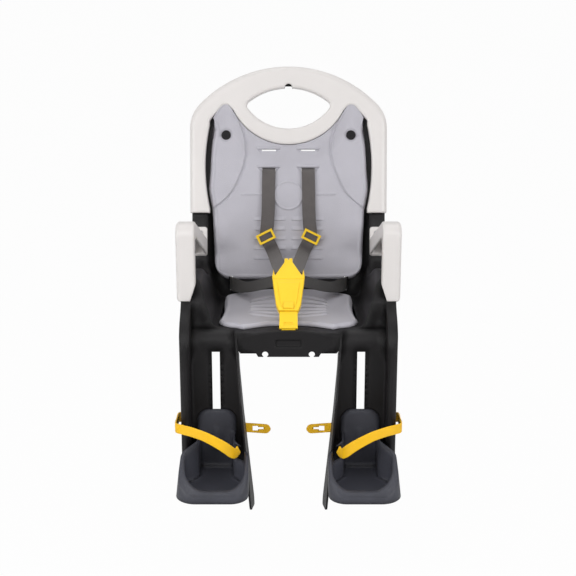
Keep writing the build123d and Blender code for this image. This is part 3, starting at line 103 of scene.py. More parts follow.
@dataclass(frozen=True)
class Finish:
    """A surface with its own colour, mottling, gloss and fine relief.

    Attributes:
        name: the material's name.
        colour: linear base colour.
        mottle: share by which the colour varies from patch to patch.
        patch: patches a metre.
        roughness: middle roughness.
        spread: how far the roughness varies either way.
        grain: kind of fine relief.
        depth: depth of the relief in metres.
        pitch: relief cells a metre.
        metal: 1 for metal.
        sheen: soft light at grazing angles, as on fabric.
        dust: share of a paler tone in the hollows of the mottling.
        specular: strength of the mirror-like part, 0.5 for common plastic.
        edge: radius in metres to which the shading rounds sharp edges.
        narrows: whether that radius narrows at the bridge and in the legs, where the forms are fine.
    """

    name: str
    colour: tuple[float, float, float, float]
    mottle: float
    patch: float
    roughness: float
    spread: float
    grain: Grain
    depth: float
    pitch: float
    metal: float = 0.0
    sheen: float = 0.0
    dust: float = 0.0
    specular: float = 0.5
    edge: float = 0.0
    narrows: bool = False

    def material(self) -> bpy.types.Material:
        """Make the node material: noise mottles colour and roughness, relief goes through Bump.

        Returns:
            The material, made once and then reused.
        """
        known = bpy.data.materials.get(self.name)
        if known:
            return known
        made = bpy.data.materials.new(self.name)
        made.use_nodes = True
        tree = made.node_tree
        nodes, links = tree.nodes, tree.links
        shader = nodes["Principled BSDF"]
        shader.inputs["Metallic"].default_value = self.metal
        shader.inputs["Sheen Weight"].default_value = self.sheen
        shader.inputs["Specular IOR Level"].default_value = self.specular
        coords = nodes.new("ShaderNodeTexCoord")
        patches = nodes.new("ShaderNodeTexNoise")
        patches.inputs["Scale"].default_value = self.patch
        patches.inputs["Detail"].default_value = 5.0
        links.new(coords.outputs["Object"], patches.inputs["Vector"])
        ramp = nodes.new("ShaderNodeValToRGB")
        base = np.array(self.colour[:3])
        pale = base * (1 + self.mottle) + self.dust
        ramp.color_ramp.elements[0].position = 0.3
        ramp.color_ramp.elements[0].color = (*(base * (1 - self.mottle)).tolist(), 1)
        ramp.color_ramp.elements[1].position = 0.72
        ramp.color_ramp.elements[1].color = (*pale.tolist(), 1)
        links.new(patches.outputs["Fac"], ramp.inputs["Fac"])
        links.new(ramp.outputs["Color"], shader.inputs["Base Color"])
        gloss = nodes.new("ShaderNodeMapRange")
        gloss.inputs["To Min"].default_value = self.roughness - self.spread
        gloss.inputs["To Max"].default_value = self.roughness + self.spread
        links.new(patches.outputs["Fac"], gloss.inputs["Value"])
        links.new(gloss.outputs["Result"], shader.inputs["Roughness"])
        relief = nodes.new("ShaderNodeBump")
        relief.inputs["Distance"].default_value = self.depth
        relief.inputs["Strength"].default_value = 1.0
        links.new(self.height(tree, coords), relief.inputs["Height"])
        links.new(relief.outputs["Normal"], shader.inputs["Normal"])
        if self.edge > 0:
            edges = nodes.new("ShaderNodeBevel")
            edges.samples = 12
            edges.inputs["Radius"].default_value = self.edge
            if self.narrows:
                links.new(self.reach(tree, coords), edges.inputs["Radius"])
            links.new(edges.outputs["Normal"], relief.inputs["Normal"])
        return made

    def reach(self, tree: bpy.types.NodeTree, coords: bpy.types.Node) -> bpy.types.NodeSocket:
        """Radius of the rounded edges: the full one on bolsters and knees, less near the middle and below them.

        Args:
            tree: the material's nodes.
            coords: its texture coordinates.

        Returns:
            The socket that carries the radius.
        """
        nodes, links = tree.nodes, tree.links
        parts, side = nodes.new("ShaderNodeSeparateXYZ"), nodes.new("ShaderNodeMath")
        side.operation = "ABSOLUTE"
        links.new(coords.outputs["Object"], parts.inputs["Vector"])
        links.new(parts.outputs["X"], side.inputs[0])
        radius = None
        for source, low, high, least, most in (
            (side.outputs["Value"], 0.055, 0.085, 0.25, 1.0), (parts.outputs["Z"], -0.01, 0.02, 0.35, 1.0)):
            share = nodes.new("ShaderNodeMapRange")
            for name, value in (("From Min", low), ("From Max", high), ("To Min", least), ("To Max", most)):
                share.inputs[name].default_value = value
            links.new(source, share.inputs["Value"])
            product = nodes.new("ShaderNodeMath")
            product.operation = "MULTIPLY"
            product.inputs[1].default_value = self.edge
            links.new(share.outputs["Result"], product.inputs[0])
            if radius is not None:
                links.new(radius, product.inputs[1])
            radius = product.outputs["Value"]
        return radius

    def height(self, tree: bpy.types.NodeTree, coords: bpy.types.Node) -> bpy.types.NodeSocket:
        """Add the nodes of the fine relief.

        Args:
            tree: the material's nodes.
            coords: its texture coordinates.

        Returns:
            The socket that carries the relief's height from 0 to 1.
        """
        nodes, links = tree.nodes, tree.links
        if self.grain is Grain.WEAVE:
            return self.weave(tree, coords)
        if self.grain is Grain.SOFT:
            cells = nodes.new("ShaderNodeTexVoronoi")
            cells.inputs["Scale"].default_value = self.pitch
            links.new(coords.outputs["Object"], cells.inputs["Vector"])
            return cells.outputs["Distance"]
        noise = nodes.new("ShaderNodeTexNoise")
        noise.inputs["Scale"].default_value = self.pitch
        noise.inputs["Detail"].default_value = 3.0
        source = coords.outputs["Object"]
        if self.grain is Grain.BRUSHED:
            stretch = nodes.new("ShaderNodeMapping")
            stretch.inputs["Scale"].default_value = (0.1, 1.0, 1.0)
            links.new(source, stretch.inputs["Vector"])
            source = stretch.outputs["Vector"]
        links.new(source, noise.inputs["Vector"])
        return noise.outputs["Fac"]

    def weave(self, tree: bpy.types.NodeTree, coords: bpy.types.Node) -> bpy.types.NodeSocket:
        """Relief of woven webbing: the product of a wave across the band and one along it.

        Args:
            tree: the material's nodes.
            coords: its texture coordinates, whose UV map counts metres across and along.

        Returns:
            The socket that carries the relief's height.
        """
        nodes, links = tree.nodes, tree.links
        parts = nodes.new("ShaderNodeSeparateXYZ")
        links.new(coords.outputs["UV"], parts.inputs["Vector"])
        waves = []
        for axis, pitch in (("X", self.pitch), ("Y", 0.6 * self.pitch)):
            turn = nodes.new("ShaderNodeMath")
            turn.operation = "MULTIPLY"
            turn.inputs[1].default_value = 2 * math.pi * pitch
            links.new(parts.outputs[axis], turn.inputs[0])
            wave = nodes.new("ShaderNodeMath")
            wave.operation = "SINE"
            links.new(turn.outputs["Value"], wave.inputs[0])
            waves.append(wave)
        both = nodes.new("ShaderNodeMath")
        both.operation = "MULTIPLY_ADD"
        both.inputs[2].default_value = 0.5
        links.new(waves[0].outputs["Value"], both.inputs[0])
        links.new(waves[1].outputs["Value"], both.inputs[1])
        return both.outputs["Value"]


SHELL = Finish(
    "shell_plastic", linear(18, 16, 18), 0.10, 14.0, 0.46, 0.05, Grain.FINE, 0.00010, 1500.0,
    specular=0.34, edge=0.024, narrows=True)
PALE_TRIM = Finish(
    "pale_trim_plastic", linear(217, 213, 211), 0.02, 9.0, 0.34, 0.05, Grain.FINE, 0.00006, 1800.0,
    edge=0.006)
PAD_FOAM = Finish(
    "pad_foam", linear(180, 178, 186), 0.03, 30.0, 0.62, 0.05, Grain.SOFT, 0.00025, 900.0,
    sheen=0.15)
WEBBING = Finish(
    "harness_webbing", linear(92, 87, 86), 0.10, 60.0, 0.72, 0.06, Grain.WEAVE, 0.0004, 420.0,
    sheen=0.2)
# The same webbing as the shoulder straps, painted darker: painted shade for the shadow that falls on the lap straps.
SHADED_LAP_WEBBING = Finish(
    "lap_webbing_painted_shade", linear(58, 56, 55), 0.10, 60.0, 0.72, 0.06, Grain.WEAVE, 0.0004, 420.0,
    sheen=0.1)
YELLOW = Finish(
    "buckle_plastic", linear(252, 208, 40), 0.03, 25.0, 0.32, 0.05, Grain.FINE, 0.00005, 1600.0,
    edge=0.0015)
BUTTON = Finish(
    "button_plastic", linear(250, 206, 40), 0.03, 25.0, 0.42, 0.05, Grain.FINE, 0.00008, 1600.0)
FOOT_CUP = Finish(
    "foot_cup_plastic", linear(66, 67, 75), 0.10, 18.0, 0.40, 0.07, Grain.FINE, 0.00012, 1300.0,
    specular=0.34, edge=0.014)
FOOT_RUBBER = Finish(
    "foot_strap_rubber", linear(248, 192, 8), 0.05, 30.0, 0.48, 0.05, Grain.FINE, 0.0001, 1100.0)
RIVET = Finish(
    "rivet_plastic", linear(28, 27, 29), 0.08, 60.0, 0.5, 0.05, Grain.FINE, 0.0001, 1500.0,
    specular=0.2)
STEEL = Finish(
    "plated_steel", linear(176, 176, 180), 0.05, 40.0, 0.32, 0.06, Grain.BRUSHED, 0.00008, 2200.0,
    metal=1.0)

NODE_FINISH: dict[str, Finish] = {
    "seat_shell": SHELL, "head_frame": PALE_TRIM, "armrest": PALE_TRIM, "back_pad": PAD_FOAM, "seat_pad": PAD_FOAM,
    "pad_rivets": RIVET, "shoulder_strap_bar": STEEL, "lap_strap_bar": STEEL, "shoulder_strap": WEBBING,
    "lap_strap": SHADED_LAP_WEBBING, "strap_adjuster": YELLOW, "buckle_tongue": YELLOW, "buckle_body": YELLOW,
    "buckle_back": YELLOW, "crotch_tab": YELLOW, "release_button": BUTTON, "release_spring": STEEL,
    "crotch_anchor": STEEL, "footrest_slider": FOOT_CUP, "footrest_screw": STEEL, "footrest": FOOT_CUP,
    "foot_strap": FOOT_RUBBER, "fork_socket": SHELL, "fork_clamp_plate": STEEL, "clamp_screws": STEEL,
    "frame_screws": STEEL, "armrest_screws": STEEL,
}


def dress_nodes() -> None:
    """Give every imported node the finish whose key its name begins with, the longest key first."""
    for name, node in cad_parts.items():
        key = max((k for k in NODE_FINISH if name.startswith(k)), key=len)
        node.data.materials.clear()
        node.data.materials.append(NODE_FINISH[key].material())
        LOG.info("dressed %s with %s", name, key)


@dataclass(frozen=True)
class Plane:
    """A leaning plane across the seat: x to the right, s up the plane, lift in front of it.

    Attributes:
        y, z: the plane's origin in millimetres.
        lean: degrees from upright.
    """

    y: float
    z: float
    lean: float

    def points(self, x: np.ndarray, s: np.ndarray, lift: np.ndarray) -> np.ndarray:
        """World places in metres of points given in the plane's own millimetres.

        Args:
            x, s, lift: arrays of one shape, or numbers.

        Returns:
            An array of that shape with a last axis of three.
        """
        sine, cosine = math.sin(math.radians(self.lean)), math.cos(math.radians(self.lean))
        x, s, lift = np.broadcast_arrays(np.asarray(x, float), s, lift)
        world = np.stack([x, self.y + s * sine - lift * cosine, self.z + s * cosine + lift * sine], axis=-1)
        return world * MM


BACK = Plane(205.0, 60.0, 14.5)
BUCKLE = Plane(-7.9, 50.3, 48.0)


def make_object(
        name: str, points: np.ndarray, faces: list, finish: Finish, uv: np.ndarray | None = None) -> bpy.types.Object:
    """Put arrays into a new mesh object with smooth faces.

    Args:
        name: the object's name.
        points: n by 3 array of places in metres.
        faces: lists of corner numbers.
        finish: the surface's finish.
        uv: optional n by 2 array, one place of the UV map for each point.

    Returns:
        The new object, linked to the scene.
    """
    mesh = bpy.data.meshes.new(name)
    mesh.from_pydata(points.tolist(), [], faces)
    mesh.polygons.foreach_set("use_smooth", np.ones(len(mesh.polygons), dtype=bool))
    if uv is not None:
        corners = np.empty(len(mesh.loops), dtype=np.int32)
        mesh.loops.foreach_get("vertex_index", corners)
        layer = mesh.uv_layers.new(name="band")
        layer.data.foreach_set("uv", uv[corners].astype(np.float32).ravel())
    mesh.materials.append(finish.material())
    mesh.update()
    made = bpy.data.objects.new(name, mesh)
    bpy.context.scene.collection.objects.link(made)
    return made


def grid_faces(rows: int, columns: int, closed: bool) -> np.ndarray:
    """Quads of a grid whose points are numbered row by row.

    Args:
        rows, columns: points each way.
        closed: whether the last column joins the first.

    Returns:
        An n by 4 array of corner numbers.
    """
    last = columns if closed else columns - 1
    row, column = np.meshgrid(np.arange(rows - 1), np.arange(last), indexing="ij")
    right = (column + 1) % columns
    quads = [row * columns + column, row * columns + right, (row + 1) * columns + right, (row + 1) * columns + column]
    return np.stack(quads, axis=-1).reshape(-1, 4)


@dataclass
class MouldedPad:
    """A foam pad whose front is a height over a plan, closed by a flat back.

    Attributes:
        name: the pad's node and piece name.
        across, along: grid points each way.
    """

    name: str
    across: int
    along: int

    def plan(self, u: np.ndarray, v: np.ndarray) -> tuple[np.ndarray, np.ndarray]:
        """Plan place of grid parameters: u from -1 to 1 across, v from 0 to 1 along."""
        raise NotImplementedError

    def height(self, x: np.ndarray, s: np.ndarray, u: np.ndarray, v: np.ndarray) -> np.ndarray:
        """Height of the pad's front over its plan."""
        raise NotImplementedError

    def world(self, x: np.ndarray, s: np.ndarray, lift: np.ndarray) -> np.ndarray:
        """World places of plan points at a height."""
        raise NotImplementedError

    def build(self, finish: Finish, body: str) -> bpy.types.Object:
        """Make the pad: a front grid, and a flat back of one strip for each column on the grid's border.

        Args:
            finish: the foam's finish.
            body: the body it rides on.

        Returns:
            The pad's object, which replaces the node of its name.
        """
        v, u = np.meshgrid(np.linspace(0, 1, self.along), np.linspace(-1, 1, self.across), indexing="ij")
        x, s = self.plan(u, v)
        points = self.world(x, s, self.height(x, s, u, v)).reshape(-1, 3)
        number = np.arange(self.across * self.along).reshape(self.along, self.across)
        low, high = number[0, 1:-1], number[-1, 1:-1]
        faces = grid_faces(self.along, self.across, False).tolist()
        faces += np.stack([low[:-1], high[:-1], high[1:], low[1:]], axis=-1).tolist()
        faces += [[low[0], *number[:, 0], high[0]], [high[-1], *number[::-1, -1], low[-1]]]
        pad = make_object(f"{self.name}_foam", points, faces, finish)
        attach(pad, body)
        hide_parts(self.name)
        LOG.info("built %s with %d points", pad.name, len(points))
        return pad


@dataclass
class BackPad(MouldedPad):
    """Moulded pad of the backrest: ears, raised wings, ribs, round boss and strap slots.

    Attributes:
        collar_centre, collar_radius: arc of the edge under the handle hole.
        foot, foot_round: lower edge and its corners.
        field: height of the front.
        rib_rows: heights of the ribs up the back.
        boss, boss_radius: the plain round boss.
        slot_rows, slot_x: the strap slots.
        rivet: place of the dished seat of a rivet.
    """

    name: str = "back_pad"
    across: int = 224
    along: int = 264
    collar_centre: float = 393.5
    collar_radius: float = 116.6
    foot: float = 20.0
    foot_round: float = 30.0
    field: float = 9.3
    rib_rows: tuple[float, ...] = (134.0, 115.5, 97.0, 78.5, 60.0)
    boss: float = 181.0
    boss_radius: float = 29.0
    slot_rows: tuple[float, ...] = (231.0, 265.0)
    slot_x: float = 37.5
    rivet: tuple[float, float] = (118.5, 295.0)

    def half_width(self, s: np.ndarray) -> np.ndarray:
        """Half the pad's width at a height up the back."""
        rows = [20, 50, 150, 160, 172, 183, 192, 202, 213, 230, 248, 267, 280, 290, 297, 303, 308, 314, 321]
        halves = [
            140, 141.2, 145.5, 146.6, 148.8, 151, 151.9, 151.6, 150.6, 149,
            148.4, 147, 145.3, 143.2, 141.4, 140.6, 141, 142.4, 144]
        return np.interp(s, rows, halves)

    def top(self, x: np.ndarray) -> np.ndarray:
        """Upper edge: the collar's arc, then the ear's rounded apex falling to its corner."""
        side = np.abs(x)
        collar = self.collar_centre - np.sqrt(self.collar_radius**2 - np.minimum(side, 103.0) ** 2)
        places = [103, 108, 113, 119, 125, 131, 139, 147]
        ear = np.interp(side, places, [337.5, 346.4, 352, 354.5, 352.3, 346.2, 334, 321.5])
        corner = 8.0 - np.sqrt(64.0 - np.clip(side - 139.0, 0, 8.0) ** 2)
        return np.where(side < 103, collar, ear) - corner

    def low(self, x: np.ndarray) -> np.ndarray:
        """Lower edge: straight with quarter-circle corners."""
        over = np.clip(np.abs(x) - 110.0, 0, self.foot_round)
        return self.foot + self.foot_round - np.sqrt(self.foot_round**2 - over**2)

    def plan(self, u: np.ndarray, v: np.ndarray) -> tuple[np.ndarray, np.ndarray]:
        """Plan place: v runs from the lower to the upper edge, u over the width at that height.

        Args:
            u, v: grid parameters.

        Returns:
            Arrays of x and of the height up the back.
        """
        first = self.low(u * 147.0) * (1 - v) + self.top(u * 147.0) * v
        x = u * self.half_width(first)
        return x, self.low(x) * (1 - v) + self.top(x) * v

    def edge_distance(self, x: np.ndarray, s: np.ndarray) -> np.ndarray:
        """Distance to the nearest edge: side, foot, or top divided by the top's slope factor."""
        side = self.half_width(s) - np.abs(x)
        step = 0.5
        slope = (self.top(x + step) - self.top(x - step)) / (2 * step)
        upper = (self.top(x) - s) / np.sqrt(1 + slope**2)
        return np.minimum(np.minimum(side, s - self.low(x)), upper)

    def wing_line(self, s: np.ndarray) -> np.ndarray:
        """Half distance between the two curved lines that part the wings from the field."""
        rows = [150, 163, 175, 187, 200, 212, 235, 259, 285, 305, 322, 345]
        return np.interp(s, rows, [158, 136, 121, 110, 102.5, 97, 87.5, 82.5, 84, 89.5, 96, 107])

    def height(self, x: np.ndarray, s: np.ndarray, u: np.ndarray, v: np.ndarray) -> np.ndarray:
        """Front height: a quarter-round edge with a bead, and each raised or sunk form added.

        Args:
            x, s: plan places.
            u, v: grid parameters, which are zero height on the border.

        Returns:
            The height in front of the backrest's face.
        """
        side = np.abs(x)
        edge = np.clip(self.edge_distance(x, s), 0, None)
        radius = 7.0 - 6.2 * (1 - smooth(4.0, 30.0, self.top(x) - s))
        rise = np.sqrt(1 - (1 - np.clip(edge / radius, 0, 1)) ** 2)
        front = self.field + 1.3 * bump(edge - radius + 0.5, 1.6, 3.0)
        wing = side - self.wing_line(s)
        front += 2.0 * smooth(-1.2, 1.6, wing) + 2.0 * bump(wing, 0.5, 1.5) - 1.4 * bump(wing + 4.0, 0.8, 2.4)
        front += 1.0 * (1 - np.minimum(side / 147.0, 1) ** 2)
        front += 7.2 * (1 - smooth(3.0, 50.0, self.top(x) - s))
        span = smooth(4, 10, side) - smooth(60, 68, side)
        for row in self.rib_rows:
            front += 3.0 * np.clip(1 - (s - row) / 6.5, 0, 1) * (1 - smooth(0.0, 1.8, row - s)) * span
        radius = np.hypot(x, s - self.boss)
        front += 1.1 * (1 - smooth(self.boss_radius - 1.5, self.boss_radius + 0.5, radius))
        front += 1.0 * bump(radius - self.boss_radius + 3.0, 0.8, 1.2)
        line = smooth(self.boss_radius + 2, self.boss_radius + 5, side) - smooth(88, 92, side)
        front += 1.9 * bump(s - 183.0, 0.6, 1.6) * line
        for row in self.slot_rows:
            half = 17.5 + 0.8 * np.clip(s - row, -6.5, 4)
            within = 1 - smooth(half, half + 1.8, np.abs(side - self.slot_x))
            front += 1.9 * bump(s - row - 5.2, 1.1, 1.8) * within
            front -= 3.2 * np.clip((s - row + 6.5) / 7.5, 0, 1) * (1 - smooth(1.5, 3.4, s - row)) * within
        dish = np.hypot(side - self.rivet[0], s - self.rivet[1])
        front -= 2.0 * (1 - smooth(10.0, 13.5, dish))
        inside = (np.abs(u) < 1) & (v > 0) & (v < 1)
        return np.where(inside, 0.5 + (front - 0.5) * rise, 0.5)

    def world(self, x: np.ndarray, s: np.ndarray, lift: np.ndarray) -> np.ndarray:
        """World places on the leaning backrest."""
        return BACK.points(x, s, lift)

    def cutters(self) -> list[np.ndarray]:
        """Eight corners of each box that is cut out for a strap: x, height up the back, depth.

        Returns:
            One 8 by 3 array of world places for each box.
        """
        slots = zip(self.slot_rows, ((-0.6, 12.9, 2.8), (1.2, 13.5, 1.6)))
        boxes = [(sign * self.slot_x, row + up, w, h) for row, (up, w, h) in slots for sign in (-1, 1)]
        boxes += [(sign * 110.0, 13.0, 4.5, 13.2) for sign in (-1, 1)]
        unit = np.array([(a, b, c) for a in (-1, 1) for b in (-1, 1) for c in (-1, 1)], float)
        return [self.world(x + unit[:, 0] * w, s + unit[:, 1] * h, unit[:, 2] * 40.0) for x, s, w, h in boxes]


@dataclass
class SeatPad(MouldedPad):
    """Moulded pad on the pan: scalloped front, narrow waist and a fan of ribs.

    Attributes:
        base, top_z: height of its back and of its front above the frame's origin.
        rear: rear edge.
    """

    name: str = "seat_pad"
    across: int = 200
    along: int = 160
    base: float = 50.4
    top_z: float = 57.6
    rear: float = 191.5

    def half_width(self, y: np.ndarray) -> np.ndarray:
        """Half the pad's width at a distance from the front."""
        rows = [0, 22, 42, 56, 82, 122, 178, 192]
        return np.interp(y, rows, [125.0, 125.5, 125.5, 122.5, 119.5, 118.0, 120.5, 119.5])

    def plan(self, u: np.ndarray, v: np.ndarray) -> tuple[np.ndarray, np.ndarray]:
        """Plan place: v runs from the scalloped front to the rear, u over the width there.

        Args:
            u, v: grid parameters.

        Returns:
            Arrays of x and of the distance from the front.
        """
        first = self.front(u * 125.0) * (1 - v) + self.rear * v
        x = u * self.half_width(first)
        return x, self.front(x) * (1 - v) + self.back(x) * v

    def front(self, x: np.ndarray) -> np.ndarray:
        """Front edge: a shallow middle scallop, a lobe on each side and a small outer scallop."""
        places = [0, 20, 33, 45, 58, 68, 75, 80, 85, 92, 102, 110, 117, 122, 126]
        edge = [25, 24.2, 22.8, 20.0, 15.4, 11.2, 7.8, 6.0, 8.0, 12.6, 15.4, 18.0, 23.0, 30.0, 40.0]
        return np.interp(np.abs(x), places, edge)

    def back(self, x: np.ndarray) -> np.ndarray:
        """Rear edge: a flat arc with rounded corners."""
        over = np.clip(np.abs(x) - 106.5, 0, 14.0)
        return self.rear - 14.0 + np.sqrt(196.0 - over**2) - 9.0 * (x / 120.0) ** 2

    def height(self, x: np.ndarray, s: np.ndarray, u: np.ndarray, v: np.ndarray) -> np.ndarray:
        """Front height: quarter-round edge, a rising middle rear, and ribs that fan out in a lens-shaped field.

        Args:
            x, s: plan places.
            u, v: grid parameters, which are zero height on the border.

        Returns:
            The height above the frame's origin.
        """
        side = np.abs(x)
        edge = np.minimum(np.minimum(self.half_width(s) - side, s - self.front(x)), self.back(x) - s)
        rise = np.sqrt(1 - (1 - np.clip(edge / 6.0, 0, 1)) ** 2)
        full = self.top_z - self.base + 0.9 * bump(edge - 6.0, 1.2, 2.6)
        lens = smooth(0.0, 9.0, 74.0 - side) * smooth(0.0, 8.0, side - 10.0)
        full = full + 10.0 * smooth(95.0, 190.0, s) * np.clip(1 - (x / 116.0) ** 2, 0, 1)
        for step in range(6):
            curve = 56.0 + 20.5 * step + (side / 70.0) ** 2 * (16.0 - 7.0 * step)
            full = full + (2.2 * bump(s - curve, 1.2, 3.2) - 1.0 * bump(s - curve + 6.5, 0.8, 2.6)) * lens
        inside = (np.abs(u) < 1) & (v > 0) & (v < 1)
        return self.base + np.where(inside, full * rise, 0.0)

    def world(self, x: np.ndarray, s: np.ndarray, lift: np.ndarray) -> np.ndarray:
        """World places on the level pan."""
        return np.stack([x, s, lift], axis=-1) * MM


def cut_boxes(piece: bpy.types.Object, boxes: list[np.ndarray]) -> None:
    """Cut boxes out of a piece for good.

    Args:
        piece: the object that is cut.
        boxes: 8 by 3 arrays of corners, in the order of three nested signs.
    """
    sides = [[0, 1, 3, 2], [4, 6, 7, 5], [0, 4, 5, 1], [2, 3, 7, 6], [0, 2, 6, 4], [1, 5, 7, 3]]
    mesh = bpy.data.meshes.new("cutter")
    points = np.concatenate(boxes)
    faces = [[corner + 8 * number for corner in side] for number in range(len(boxes)) for side in sides]
    mesh.from_pydata(points.tolist(), [], faces)
    tool = bpy.data.objects.new("cutter", mesh)
    bpy.context.scene.collection.objects.link(tool)
    cut = piece.modifiers.new("cut", "BOOLEAN")
    cut.operation, cut.object, cut.solver = "DIFFERENCE", tool, "EXACT"
    bpy.context.view_layer.update()
    result = bpy.data.meshes.new_from_object(piece.evaluated_get(bpy.context.evaluated_depsgraph_get()))
    piece.modifiers.clear()
    old, piece.data = piece.data, result
    bpy.data.objects.remove(tool)
    bpy.data.meshes.remove(mesh)
    bpy.data.meshes.remove(old)


def through(points: np.ndarray, count: int) -> np.ndarray:
    """Smooth line through points: a cubic between each pair whose slopes are the neighbours' difference.

    Args:
        points: n by k array.
        count: places on each stretch.

    Returns:
        An array of places along the line.
    """
    padded = np.concatenate([2 * points[:1] - points[1:2], points, 2 * points[-1:] - points[-2:-1]])
    t = np.linspace(0, 1, count, endpoint=False)[:, None]
    p0, p1, p2, p3 = (padded[i:len(padded) - 3 + i, None, :] for i in range(4))
    square, cube = 2 * p0 - 5 * p1 + 4 * p2 - p3, 3 * p1 - p0 - 3 * p2 + p3
    line = 0.5 * (2 * p1 + (p2 - p0) * t + square * t**2 + cube * t**3)
    return np.concatenate([line.reshape(-1, points.shape[1]), points[-1:]])


@dataclass(frozen=True)
class Band:
    """A flat band carried along a path, with rounded edges.

    Attributes:
        width, thickness: size across in millimetres.
        corner: how far the edges are rounded, as a share of half the thickness.
    """

    width: float
    thickness: float
    corner: float = 0.9

    def profile(self) -> np.ndarray:
        """Closed outline across the band: straight faces and half-round edges.

        Returns:
            An n by 2 array of places across and through the band.
        """
        radius = 0.5 * self.thickness * self.corner
        turns = np.radians(np.linspace(-90, 90, 7))
        edge = np.stack([np.cos(turns) * radius, np.sin(turns) * 0.5 * self.thickness], axis=-1)
        face = np.linspace(self.width / 2 - radius, radius - self.width / 2, 7)[1:-1]
        right = edge + [self.width / 2 - radius, 0]
        left = -edge - [self.width / 2 - radius, 0]
        top = np.stack([face, np.full(5, 0.5 * self.thickness)], axis=-1)
        foot = np.stack([-face, np.full(5, -0.5 * self.thickness)], axis=-1)
        return np.concatenate([right, top, left, foot])

    def sweep(self, path: np.ndarray, across: np.ndarray, taper: np.ndarray) -> tuple[np.ndarray, list, np.ndarray]:
        """Carry the profile along a path: each ring lies across the path's direction there.

        Args:
            path: n by 3 middle line in millimetres.
            across: n by 3 directions of the band's width.
            taper: n shares of the full width.

        Returns:
            Points in metres, faces with both ends closed, and UV places in metres.
        """
        along = np.gradient(path, axis=0)
        along /= np.linalg.norm(along, axis=1, keepdims=True)
        across = across - along * np.sum(across * along, axis=1, keepdims=True)
        across /= np.linalg.norm(across, axis=1, keepdims=True)
        normal = np.cross(across, along)
        shape = self.profile()
        wide = shape[None, :, 0, None] * taper[:, None, None] * across[:, None, :]
        rings = path[:, None, :] + wide + shape[None, :, 1, None] * normal[:, None, :]
        rows, columns = rings.shape[:2]
        faces = grid_faces(rows, columns, True)[:, ::-1].tolist()
        faces += [list(range(columns)), list(range(rows * columns - 1, (rows - 1) * columns - 1, -1))]
        run = np.concatenate([[0], np.cumsum(np.linalg.norm(np.diff(path, axis=0), axis=1))])
        uv = np.stack(np.broadcast_arrays(shape[None, :, 0], run[:, None]), axis=-1).reshape(-1, 2)
        return rings.reshape(-1, 3) * MM, faces, uv * MM


class Side(Enum):
    """Which half of the seat a piece belongs to, as the sign of its x."""

    LEFT = -1
    RIGHT = 1

    @property
    def word(self) -> str:
        """The side's name in lower case."""
        return self.name.lower()


